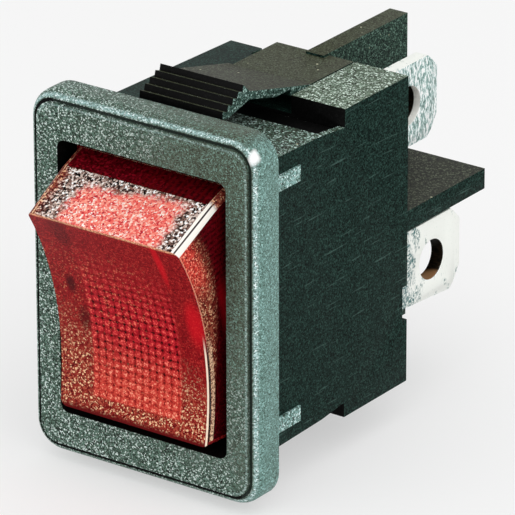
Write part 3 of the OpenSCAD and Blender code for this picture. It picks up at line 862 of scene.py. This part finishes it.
@dataclass(frozen=True)
class Moulded:
    """Plain moulding or lacquer with a soft mottle and a few specks."""

    name: str
    colour: Colour
    shade: Colour
    speck: Colour = (0.25, 0.22, 0.18)
    roughness: float = 0.45
    translucency: float = 0.0

    def build(self) -> bpy.types.Material:
        """Lays out a soft cloud of two shades with a few dark specks.

        Returns:
            The material.
        """
        graph = Graph(self.name)
        cloud = graph.ramp(graph.noise(0.9, 3.0, 0.55, 2.0), 0.35, 0.65)
        colour = graph.blend(cloud, self.shade, self.colour)
        colour = graph.blend(graph.times(graph.specks(0.4, 0.12, 0.15, 5.0), 0.5), colour, self.speck)
        return graph.finish(colour, self.roughness, graph.bump(graph.noise(0.15, 2.0), 0.004),
                            Subsurface_Weight=self.translucency, Subsurface_Scale=0.0005)


@dataclass(frozen=True)
class BulbGlass:
    """Clear glass of the glow lamp, with faint drawing streaks."""

    name: str = "bulb_glass"

    def build(self) -> bpy.types.Material:
        """Lays out clear glass with faint streaks along it.

        Returns:
            The material.
        """
        graph = Graph(self.name)
        streaks = graph.noise(0.3, 2.0, 0.5, 1.0, (1, 1, 0.2))
        colour = graph.blend(streaks, (0.93, 0.95, 0.93), (1.0, 0.99, 0.97))
        return graph.finish(colour, 0.03, graph.bump(streaks, 0.003), Transmission_Weight=1.0, IOR=1.47)


@dataclass(frozen=True)
class BandedBody:
    """Lacquered resistor body with its colour bands."""

    name: str = "banded_body"
    start: float = 1.3
    half_band: float = 0.15
    bands: tuple[tuple[float, Colour], ...] = (
        (0.45, (0.16, 0.06, 0.02)), (1.25, (0.01, 0.01, 0.01)),
        (1.95, (0.75, 0.45, 0.03)), (3.1, (0.55, 0.36, 0.10)))

    def build(self) -> bpy.types.Material:
        """Lays out a beige lacquer crossed by four rings.

        Returns:
            The material.
        """
        graph = Graph(self.name, tilted=True)
        colour = graph.blend(graph.noise(0.5, 3.0), (0.50, 0.38, 0.22), (0.66, 0.53, 0.34))
        for place, ring in self.bands:
            middle = self.start + place
            colour = graph.paint(colour, ring,
                                 graph.span(graph.z, middle - self.half_band, middle + self.half_band, 0.03))
        return graph.finish(colour, 0.35, graph.bump(graph.noise(0.25, 2.0), 0.01))


# ---- Meshes ----


def mesh_object(name: str, mesh: bpy.types.ID) -> bpy.types.Object:
    """Puts a mesh, a light or a camera in the scene as an object at the origin.

    Args:
        name: Name of the object.
        mesh: The object's data.

    Returns:
        The object.
    """
    piece = bpy.data.objects.new(name, mesh)
    bpy.context.scene.collection.objects.link(piece)
    return piece


def grid_mesh(name: str, points: np.ndarray) -> bpy.types.Mesh:
    """Makes a closed mesh of a grid of points, whose rows are rings.

    Quads join each ring to the next, and one polygon closes each end.

    Args:
        name: Name of the mesh.
        points: Array of rings by points by three, in millimetres.

    Returns:
        The mesh, in metres.
    """
    rows, columns = points.shape[:2]
    index = np.arange(rows * columns).reshape(rows, columns)
    right = np.roll(index, -1, axis=1)
    quads = np.stack([index[:-1], right[:-1], right[1:], index[1:]], axis=-1).reshape(-1, 4)
    faces = [*quads.tolist(), index[0, ::-1].tolist(), index[-1].tolist()]
    mesh = bpy.data.meshes.new(name)
    mesh.from_pydata((points.reshape(-1, 3) * MM).tolist(), [], faces)
    mesh.validate()
    return mesh


def tube_points(path: np.ndarray, radius: float, sides: int) -> np.ndarray:
    """Carries a circle along a path.

    The circle stands square to the path at each point, and its first direction is the
    path's direction crossed with a fixed slanted one.

    Args:
        path: Points of the path, in millimetres.
        radius: Radius of the tube.
        sides: Points on the circle.

    Returns:
        Array of path points by sides by three.
    """
    along = np.gradient(path, axis=0)
    along /= np.linalg.norm(along, axis=1, keepdims=True)
    first = np.cross(along, np.array([0.31, 0.47, 0.83]))
    first /= np.linalg.norm(first, axis=1, keepdims=True)
    second = np.cross(along, first)
    angle = np.linspace(0, 2 * np.pi, sides, endpoint=False)
    ring = first[:, None] * np.cos(angle)[:, None] + second[:, None] * np.sin(angle)[:, None]
    return path[:, None] + radius * ring


def finished_copy(node: str, name: str, width: float, edge_slot: int = -1) -> bpy.types.Object:
    """Copies a node's mesh, joins its loose triangles and rounds its sharp edges.

    Args:
        node: Name of the node, which the copy then stands for.
        name: Name of the copy.
        width: Width of the rounded edges, in millimetres.
        edge_slot: Material slot of the rounded edges, or -1 for their neighbours' one.

    Returns:
        The copy, riding on its node's body.
    """
    source = bpy.data.objects[node]
    mesh = source.data.copy()
    mesh.name = name
    mesh.materials.clear()
    shape = bmesh.new()
    shape.from_mesh(mesh)
    bmesh.ops.remove_doubles(shape, verts=shape.verts, dist=2e-6)
    bmesh.ops.dissolve_limit(shape, angle_limit=math.radians(0.4), verts=shape.verts, edges=shape.edges)
    shape.to_mesh(mesh)
    shape.free()
    copy = mesh_object(name, mesh)
    bevel = copy.modifiers.new("rounded_edges", "BEVEL")
    bevel.width = width * MM
    bevel.segments = 2
    bevel.limit_method = "ANGLE"
    bevel.angle_limit = math.radians(SHARP_DEG)
    bevel.use_clamp_overlap = True
    bevel.harden_normals = True
    bevel.material = edge_slot
    mesh.shade_smooth()
    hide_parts(node)
    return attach(copy, source["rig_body"])


def dress(node: str, width: float, finish: bpy.types.Material) -> bpy.types.Object:
    """Copies a node with rounded edges and gives it one finish.

    Args:
        node: Name of the node.
        width: Width of the rounded edges, in millimetres.
        finish: The finish.

    Returns:
        The copy.
    """
    piece = finished_copy(node, node + "_finished", width)
    piece.data.materials.append(finish)
    return piece


def face_places(mesh: bpy.types.Mesh, tilted: bool = False) -> tuple[np.ndarray, np.ndarray]:
    """Reads where the faces of a mesh are and which way they point.

    Args:
        mesh: The mesh.
        tilted: Gives them about the rocker's pivot, level with its face.

    Returns:
        Middles in millimetres and normals, one row for each face.
    """
    count = len(mesh.polygons)
    middles = np.empty(count * 3)
    normals = np.empty(count * 3)
    mesh.polygons.foreach_get("center", middles)
    mesh.polygons.foreach_get("normal", normals)
    middles = middles.reshape(-1, 3) / MM
    normals = normals.reshape(-1, 3)
    if tilted:
        c, s = math.cos(TILT), math.sin(TILT)
        level = np.array([[1, 0, 0], [0, c, -s], [0, s, c]])
        middles = (middles - np.array([0, PIVOT_Y, 0])) @ level
        normals = normals @ level
    return middles, normals


def assign_slots(piece: bpy.types.Object, materials: list[bpy.types.Material], slots: np.ndarray) -> None:
    """Gives a piece its materials, and each of its faces one of them.

    Args:
        piece: The piece.
        materials: Its materials, in the order of their slots.
        slots: One slot number for each face.
    """
    for material in materials:
        piece.data.materials.append(material)
    piece.data.polygons.foreach_set("material_index", slots.astype(np.int32))


# ---- Sub-assemblies ----


class HousingSlot(IntEnum):
    """Finishes of the housing, in the order of their slots."""

    FRAME = 0
    EDGE = 1
    CAVITY = 2
    BLOCK = 3
    PLATEAU = 4
    LEDGE = 5
    PAD = 6
    SHELF_EDGE = 7
    SHELF_TOP = 8
    WALL = 9
    SIDE = 10
    LATCH = 11
    VALLEY = 12


@dataclass
class Housing:
    """Front frame and body in one black moulding."""

    bezel_t: float = 2.0
    window: tuple[float, float] = (5.525, 7.915)
    body_half: float = 6.3
    body_low: float = 8.0
    body_depth: float = 13.68
    block_top: float = 9.155
    block_x: float = 2.8
    ledge_end: float = 8.0
    floor: float = 12.0
    latch_root: float = 9.6
    latch_low: float = 8.9
    steps_end: float = 3.4
    steps_low: float = 9.3
    pad_end: float = 4.0
    slack: float = 0.05
    edge: float = 0.055

    def build(self) -> list[bpy.types.Object]:
        """Makes the moulding and gives each of its faces a finish by its place.

        Returns:
            The moulding, as the only piece.
        """
        piece = finished_copy("housing", "housing_moulding", self.edge, HousingSlot.EDGE.value)
        middles, normals = face_places(piece.data)
        x, y, z = middles.T
        nx, ny, nz = normals.T
        wide, high, up = np.abs(x), np.abs(z), nz > 0.7
        behind_panel = y > 2 * self.slack
        behind_body = y > self.body_depth + self.slack
        pit = (wide < self.window[0] + self.slack) & (high < self.window[1] + self.slack)
        pit &= (y > self.slack - self.bezel_t) & (y < self.floor)
        frame = (y < 0.2 * self.slack) & (y > -self.bezel_t - 2 * self.slack)
        steps = (high > self.steps_low) & (y < self.steps_end) & behind_panel & (ny < -0.5)
        latch = (high > self.latch_low) & (y < self.latch_root) & behind_panel & (nx > 0.7)
        block = up & (z > self.block_top - 2 * self.slack) & (x > self.block_x - 0.02)
        valley = up & (y > 3.5) & (y < self.latch_root + 2 * self.slack) & (z > self.block_top + 0.045)
        plateau = up & (z > 8.3) & (x < self.block_x) & behind_panel
        ledge = up & (z < 9.0) & (z > self.body_low) & (y < self.ledge_end) & (x > self.block_x)
        pad = (wide > self.body_half + 0.02) & (y > 0.01) & (y < self.pad_end)
        pocket = (high > 7.8) & behind_panel & (y < 7.8) & (x < self.body_half - 0.3) & (z < 9.2) & ~up
        # The pit, the latch steps and the pocket get a near-black finish as painted shade.
        rules = (
            (pit, HousingSlot.CAVITY), (frame, HousingSlot.FRAME), (steps, HousingSlot.CAVITY),
            (latch, HousingSlot.LATCH), (block, HousingSlot.BLOCK), (valley, HousingSlot.VALLEY),
            (plateau, HousingSlot.PLATEAU), (ledge, HousingSlot.LEDGE), (pad, HousingSlot.PAD),
            (pocket, HousingSlot.CAVITY), (behind_body & up & (z > self.body_low), HousingSlot.BLOCK),
            (behind_body & up, HousingSlot.SHELF_TOP),
            (behind_body & (nx > 0.9) & (x > 5), HousingSlot.SHELF_EDGE), (behind_body, HousingSlot.WALL),
        )
        places, finishes = zip(*rules)
        slots = np.select(places, [finish.value for finish in finishes], HousingSlot.SIDE.value)
        assign_slots(piece, self.finishes(), slots)
        return [piece]

    def finishes(self) -> list[bpy.types.Material]:
        """Builds the finishes in the order of their slots.

        Returns:
            The materials.
        """
        plastics = (
            SpeckledPlastic(
                "cavity_shade_black",
                ((0.0, 0.0, 0.0), (0.0, 0.0, 0.0), (0.001, 0.001, 0.001),
                 (0.001, 0.001, 0.001), (0.004, 0.004, 0.004)),
            ),
            SpeckledPlastic(
                "block_grain",
                ((0.015, 0.018, 0.012), (0.065, 0.085, 0.058), (0.115, 0.16, 0.112),
                 (0.22, 0.31, 0.235), (0.8, 0.95, 0.85)),
            ),
            # Its brown tones are a painted sheen on the flat top, with specks of dust.
            SpeckledPlastic(
                "plateau_brown_sheen",
                ((0.012, 0.010, 0.006), (0.036, 0.037, 0.020), (0.046, 0.053, 0.029),
                 (0.060, 0.073, 0.042), (0.10, 0.12, 0.08)), 0.07, 0.10,
            ),
            SpeckledPlastic(
                "ledge_dust",
                ((0.004, 0.003, 0.002), (0.018, 0.019, 0.012), (0.045, 0.062, 0.042),
                 (0.115, 0.21, 0.16), (0.6, 0.8, 0.74)), 0.09, 0.06,
            ),
            SpeckledPlastic(
                "pad_grain",
                ((0.03, 0.05, 0.037), (0.125, 0.205, 0.18), (0.19, 0.33, 0.30),
                 (0.34, 0.58, 0.55), (0.75, 0.93, 0.92)), 0.09,
            ),
            SpeckledPlastic(
                "shelf_edge_grey",
                ((0.033, 0.085, 0.062), (0.10, 0.19, 0.16), (0.13, 0.24, 0.21),
                 (0.17, 0.31, 0.28), (0.45, 0.62, 0.58)), 0.07, 0.08,
            ),
            SpeckledPlastic(
                "shelf_dust",
                ((0.001, 0.001, 0.0), (0.006, 0.006, 0.003), (0.016, 0.018, 0.010),
                 (0.034, 0.042, 0.024), (0.12, 0.14, 0.09)), 0.08, 0.14,
            ),
            SpeckledPlastic(
                "wall_grain",
                ((0.0, 0.002, 0.001), (0.006, 0.016, 0.012), (0.018, 0.042, 0.030),
                 (0.045, 0.095, 0.068), (0.14, 0.24, 0.19)), 0.08, 0.08,
            ),
            SmoothSide(),
            SpeckledPlastic(
                "latch_side",
                ((0.004, 0.01, 0.008), (0.02, 0.045, 0.035), (0.045, 0.09, 0.075),
                 (0.09, 0.17, 0.14), (0.45, 0.65, 0.6)), 0.08, 0.08,
            ),
            # Its brown tones are a painted sheen on the flat tops, with specks of dust.
            SpeckledPlastic(
                "valley_brown_sheen",
                ((0.006, 0.005, 0.003), (0.02, 0.019, 0.011), (0.030, 0.032, 0.019),
                 (0.045, 0.052, 0.03), (0.1, 0.12, 0.08)), 0.08, 0.10,
            ),
        )
        return [finish.build() for finish in (FrameGrain(), EdgeShine(), *plastics)]


class RockerSlot(IntEnum):
    """Finishes of the rocker, in the order of their slots."""

    HOLLOW = 0
    END = 1
    SIDE = 2
    SKIRT = 3
    RIM = 4


@dataclass
class RockerCap:
    """Red rocker with its finger hollow, sloping ends and round skirt."""

    end_u: float = -1.3
    skirt_u: float = 0.31
    edge: float = 0.05

    def build(self) -> list[bpy.types.Object]:
        """Makes the rocker and gives each of its faces a finish by its place.

        Returns:
            The rocker, as the only piece.
        """
        piece = finished_copy("rocker", "rocker_cap", self.edge, RockerSlot.RIM.value)
        middles, normals = face_places(piece.data, tilted=True)
        x, u, v = middles.T
        nx, nu, nv = np.abs(normals.T)
        wide, high = np.abs(x), np.abs(v)
        hollow = (np.abs(np.hypot(u - HOLLOW_U, v) - HOLLOW_R) < 0.05) & (nu > 0.8)
        rounded = ((wide > 4.3) | (high > 6.1)) & (nx > 0.07) & (nv > 0.07) & (u < self.skirt_u)
        end = (high > 6.0) & (u < self.end_u) & (nv > 0.8)
        side = (nx > 0.9) & (wide > 4.7) & (u < self.skirt_u + 0.02)
        finishes = (RockerSlot.HOLLOW, RockerSlot.RIM, RockerSlot.END, RockerSlot.SIDE)
        slots = np.select([hollow, rounded, end, side], [finish.value for finish in finishes],
                          RockerSlot.SKIRT.value)
        lens = Lens()
        assign_slots(piece, [lens.face(), lens.end(), lens.side(), lens.skirt(), lens.rim()], slots)
        return [piece]


def from_rocker(x: np.ndarray, u: np.ndarray, v: np.ndarray) -> np.ndarray:
    """Turns points of the tilted rocker into the part's frame.

    Args:
        x: Places across, in millimetres.
        u: Places behind the pivot, along the rocker's own depth.
        v: Places above the pivot, along the rocker's own height.

    Returns:
        Array whose last axis holds X, Y and Z.
    """
    c, s = math.cos(TILT), math.sin(TILT)
    return np.stack([x + 0 * u, PIVOT_Y + u * c - v * s, u * s + v * c], axis=-1)


@dataclass
class LightFilter:
    """Curved white filter with a waffle pressed into its front."""

    front_r: float = 18.08
    thickness: float = 0.5
    half: tuple[float, float] = (2.9, 5.5)
    relief: float = 0.09

    def build(self) -> bpy.types.Object:
        """Makes the filter.

        Its front is a cylinder about the finger hollow's axis, dented by the relief times
        the product of two sines' sizes, one across and one along. Each row of the grid goes
        once round the filter's section.

        Returns:
            The filter.
        """
        x = np.linspace(-self.half[0], self.half[0], 97)
        v = np.linspace(-self.half[1], self.half[1], 185)[:, None]
        dent = np.abs(np.sin(np.pi * x / WAFFLE_PITCH) * np.sin(np.pi * v / WAFFLE_PITCH))
        front = HOLLOW_U + np.sqrt(self.front_r ** 2 - v ** 2) + self.relief * (1 - dent)
        back = HOLLOW_U + np.sqrt((self.front_r + self.thickness) ** 2 - v ** 2)
        across = np.concatenate([x, [self.half[0], -self.half[0]]])
        depth = np.concatenate([front, back, back], axis=1)
        points = from_rocker(across + 0 * depth, depth, v + 0 * depth)
        mesh = grid_mesh("light_filter", points)
        mesh.shade_smooth()
        piece = mesh_object("light_filter", mesh)
        white = Moulded("filter_white", (0.92, 0.70, 0.62), (0.84, 0.58, 0.50), translucency=0.3)
        mesh.materials.append(white.build())
        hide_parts("diffuser")
        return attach(piece, ROCKER_BODY)


@dataclass
class LampSet:
    """Glow lamp, resistor and leads in their holder, carried by the rocker."""

    def build(self) -> list[bpy.types.Object]:
        """Makes the pieces.

        Returns:
            The pieces.
        """
        glass = BulbGlass().build()
        holder = Moulded("holder_nylon", (0.86, 0.84, 0.78), (0.74, 0.71, 0.63), translucency=0.2).build()
        wire = Metal("tinned_wire", (0.78, 0.79, 0.76), (0.5, 0.5, 0.47)).build()
        nickel = Metal("electrode_nickel", (0.66, 0.65, 0.62), (0.4, 0.39, 0.36), 0.4).build()
        return [
            LightFilter().build(),
            dress("lamp_holder", 0.06, holder),
            dress("lamp_bulb", 0.02, glass),
            dress("lamp_electrodes", 0.02, nickel),
            dress("resistor", 0.08, BandedBody().build()),
            *(dress(lead, 0.01, wire) for lead in ("supply_lead", "bridge_lead", "return_lead")),
        ]


@dataclass
class CoilSpring:
    """Round-wire compression spring between two points."""

    node: str
    start: tuple[float, float, float]
    end: tuple[float, float, float]
    radius: float = 0.69
    wire: float = 0.11
    turns: float = 9.0

    def build(self, material: bpy.types.Material) -> bpy.types.Object:
        """Winds the spring and returns it.

        The centre line goes round a circle while it climbs from one end to the other,
        slowly over the first and last turns and evenly in between.

        Args:
            material: Finish of the wire.

        Returns:
            The spring.
        """
        start, end = np.array(self.start), np.array(self.end)
        length = np.linalg.norm(end - start)
        axis = (end - start) / length
        first = np.cross(axis, [1.0, 0.0, 0.0])
        first /= np.linalg.norm(first)
        second = np.cross(axis, first)
        angle = np.linspace(0, 2 * np.pi * self.turns, int(self.turns * 28) + 1)
        share = angle / angle[-1]
        slow = 0.9 / self.turns
        pace = 0.3 + 0.7 * np.clip(np.minimum(share, 1 - share) / slow, 0, 1)
        climb = np.concatenate([[0], np.cumsum((pace[1:] + pace[:-1]) / 2)])
        climb = self.wire + (length - 2 * self.wire) * climb / climb[-1]
        ring = np.cos(angle)[:, None] * first + np.sin(angle)[:, None] * second
        path = start + climb[:, None] * axis + self.radius * ring
        mesh = grid_mesh(self.node + "_wound", tube_points(path, self.wire * 0.97, 10))
        mesh.shade_smooth()
        piece = mesh_object(self.node + "_wound", mesh)
        mesh.materials.append(material)
        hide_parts(self.node)
        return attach(piece, bpy.data.objects[self.node]["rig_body"])


@dataclass
class ContactSet:
    """Plunger, see-saw and contacts with the three springs."""

    def build(self) -> list[bpy.types.Object]:
        """Makes the pieces.

        Returns:
            The pieces.
        """
        nylon = Moulded("plunger_nylon", (0.90, 0.88, 0.83), (0.80, 0.77, 0.70), translucency=0.2).build()
        bronze = Metal("bronze_strip", (0.72, 0.46, 0.22), (0.45, 0.27, 0.12), 0.3).build()
        silver = Metal("contact_silver", (0.88, 0.88, 0.86), (0.62, 0.61, 0.58), 0.25, (1, 1, 1)).build()
        steel = Metal("spring_steel", (0.72, 0.73, 0.73), (0.48, 0.49, 0.49), 0.28, (1, 1, 1)).build()
        springs = (
            CoilSpring("supply_spring", from_rocker(1.25, 3.12, 3.45), (1.25, 8.16, 3.45)),
            CoilSpring("return_spring", from_rocker(-1.25, 3.12, -3.0), (-1.25, 8.16, -3.0)),
            CoilSpring("plunger_spring", from_rocker(3.2, -1.18, 0.0), from_rocker(3.2, 2.38, 0.0),
                       turns=7.0),
        )
        return [
            dress("plunger", 0.05, nylon),
            dress("seesaw", 0.04, bronze),
            dress("moving_contact", 0.03, silver),
            dress("fixed_contact", 0.03, silver),
            *(spring.build(steel) for spring in springs),
        ]


@dataclass
class Terminals:
    """Three tin-plated brass tabs with their inner plates."""

    hole_y: float = 16.46
    hole_r: float = 1.15
    load_z: float = 6.05
    low_z: float = -2.6
    edge: float = 0.04

    def build(self) -> list[bpy.types.Object]:
        """Makes the tabs.

        Returns:
            The pieces.
        """
        pieces = []
        mottled, clean = TinPlate("mottled_tin", 0.85).build(), TinPlate("clean_tin", 0.0).build()
        drawn, dark = CutBrass("drawn_edge", 3.95).build(), CutBrass("dark_edge", 8.0).build()
        for node, z, tin, brass in (
            ("load_terminal", self.load_z, mottled, drawn),
            ("common_terminal", self.low_z, clean, dark),
            ("lamp_terminal", self.low_z, clean, dark),
        ):
            piece = finished_copy(node, node + "_stamped", self.edge)
            middles, normals = face_places(piece.data)
            inside = np.hypot(middles[:, 1] - self.hole_y, middles[:, 2] - z) < self.hole_r + 0.02
            inside &= np.abs(normals[:, 0]) < 0.3
            assign_slots(piece, [tin, brass], np.where(inside, 1, 0))
            pieces.append(piece)
        return pieces


# ---- Studio ----


@dataclass(frozen=True)
class CameraView:
    """Where the camera stands and what it takes in."""

    azimuth: float = math.radians(35.798)
    elevation: float = math.radians(23.103)
    roll: float = math.radians(-0.141)
    distance: float = 0.33464
    aim_right: float = 0.0049652
    aim_up: float = 0.0015819
    lens: float = 439.4

    def build(self) -> bpy.types.Object:
        """Makes the camera.

        Its direction is (sin a cos e, -cos a cos e, sin e), and it looks at a point a
        little to the right of the origin and above it.

        Returns:
            The camera.
        """
        a, e = self.azimuth, self.elevation
        towards = Vector((math.sin(a) * math.cos(e), -math.cos(a) * math.cos(e), math.sin(e)))
        turn = towards.to_track_quat("Z", "Y")
        data = bpy.data.cameras.new("camera")
        data.lens = self.lens
        data.clip_start = 0.01
        data.clip_end = 20.0
        camera = mesh_object("camera", data)
        right, up = turn @ Vector((1, 0, 0)), turn @ Vector((0, 1, 0))
        camera.location = self.aim_right * right + self.aim_up * up + self.distance * towards
        camera.rotation_euler = turn.to_euler()
        camera.rotation_euler.rotate_axis("Z", self.roll)
        bpy.context.scene.camera = camera
        return camera


@dataclass(frozen=True)
class Softbox:
    """Square soft light that looks at the part from a distance."""

    name: str
    direction: tuple[float, float, float]
    side: float
    power: float
    distance: float = 0.4

    def build(self) -> bpy.types.Object:
        """Makes the light.

        Returns:
            The object.
        """
        data = bpy.data.lights.new(self.name, "AREA")
        data.size = self.side
        data.energy = self.power
        light = mesh_object(self.name, data)
        light.location = Vector(self.direction).normalized() * self.distance
        light.rotation_euler = light.location.to_track_quat("Z", "Y").to_euler()
        return light


@dataclass(frozen=True)
class Studio:
    """Pale floor under the part, an even pale surround and three softboxes.

    The floor is a square of twice half. Part of it, the share named glow, shows as plain
    white to the camera, in gloss and through glass, which softens the shadow there.
    """

    ambient: float = 0.7
    half: float = 3.0
    glow: float = 0.5

    def build(self) -> None:
        """Makes the floor, the lights, the surround and the camera."""
        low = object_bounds()[0][2] - 0.00002
        square = ((-1, -1), (1, -1), (1, 1), (-1, 1))
        mesh = bpy.data.meshes.new("floor")
        mesh.from_pydata([(x * self.half, y * self.half, low) for x, y in square], [], [(0, 1, 2, 3)])
        floor = mesh_object("floor", mesh)
        mesh.materials.append(self.floor_finish())
        floor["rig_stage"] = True
        for light in (
            Softbox("key_softbox", (0.5, -0.4, 0.9), 0.4, 0.5),
            Softbox("right_softbox", (1.0, -0.25, 0.35), 0.4, 0.18),
            Softbox("front_softbox", (-0.35, -1.0, 0.3), 0.4, 0.18),
        ):
            light.build()
        self.surround()
        bpy.context.scene.view_settings.view_transform = "Standard"
        CameraView().build()

    def floor_finish(self) -> bpy.types.Material:
        """Lays out the floor's finish, matt and pale, its shadow softened for the camera.

        Returns:
            The material.
        """
        graph = Graph("pale_floor")
        colour = graph.blend(graph.noise(90.0), (0.93, 0.93, 0.93), (0.96, 0.96, 0.96))
        material = graph.finish(colour, 0.9, Specular_IOR_Level=0.0)
        white = graph.add("Emission")
        mix = graph.add("MixShader")
        share = graph.times(direct_view(graph.tree), self.glow)
        graph.link(share, mix.inputs[0])
        graph.link(graph.shader.outputs[0], mix.inputs[1])
        graph.link(white.outputs[0], mix.inputs[2])
        graph.link(mix.outputs[0], graph.tree.nodes["Material Output"].inputs["Surface"])
        return material

    def surround(self) -> None:
        """Makes the world: white to the camera, to gloss and through glass, and dimmer as a light."""
        world = bpy.data.worlds.new("surround")
        bpy.context.scene.world = world
        world.use_nodes = True
        nodes, links = world.node_tree.nodes, world.node_tree.links
        dim = nodes["Background"]
        white = nodes.new("ShaderNodeBackground")
        for background, strength in ((dim, self.ambient), (white, 1.0)):
            background.inputs["Color"].default_value = (1, 1, 1, 1)
            background.inputs["Strength"].default_value = strength
        mix = nodes.new("ShaderNodeMixShader")
        links.new(direct_view(world.node_tree), mix.inputs[0])
        links.new(dim.outputs[0], mix.inputs[1])
        links.new(white.outputs[0], mix.inputs[2])
        links.new(mix.outputs[0], nodes["World Output"].inputs["Surface"])


def direct_view(tree: bpy.types.NodeTree) -> Socket:
    """Tells what the camera sees, directly, in gloss or through glass, from what gives light.

    Args:
        tree: Node tree that the nodes are added to.

    Returns:
        Socket of 1 for what is seen and 0 for light.
    """
    path = tree.nodes.new("ShaderNodeLightPath")
    seen = path.outputs["Is Camera Ray"]
    for output in ("Is Glossy Ray", "Is Transmission Ray"):
        either = tree.nodes.new("ShaderNodeMath")
        either.operation = "MAXIMUM"
        tree.links.new(seen, either.inputs[0])
        tree.links.new(path.outputs[output], either.inputs[1])
        seen = either.outputs[0]
    return seen


def main() -> None:
    """Builds every piece and the studio."""
    logging.basicConfig(level=logging.INFO)
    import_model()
    for assembly in (Housing(), RockerCap(), LampSet(), ContactSet(), Terminals()):
        for piece in assembly.build():
            log.info("%s: %d faces", piece.name, len(piece.data.polygons))
    Studio().build()


if __name__ == "__main__":
    main()
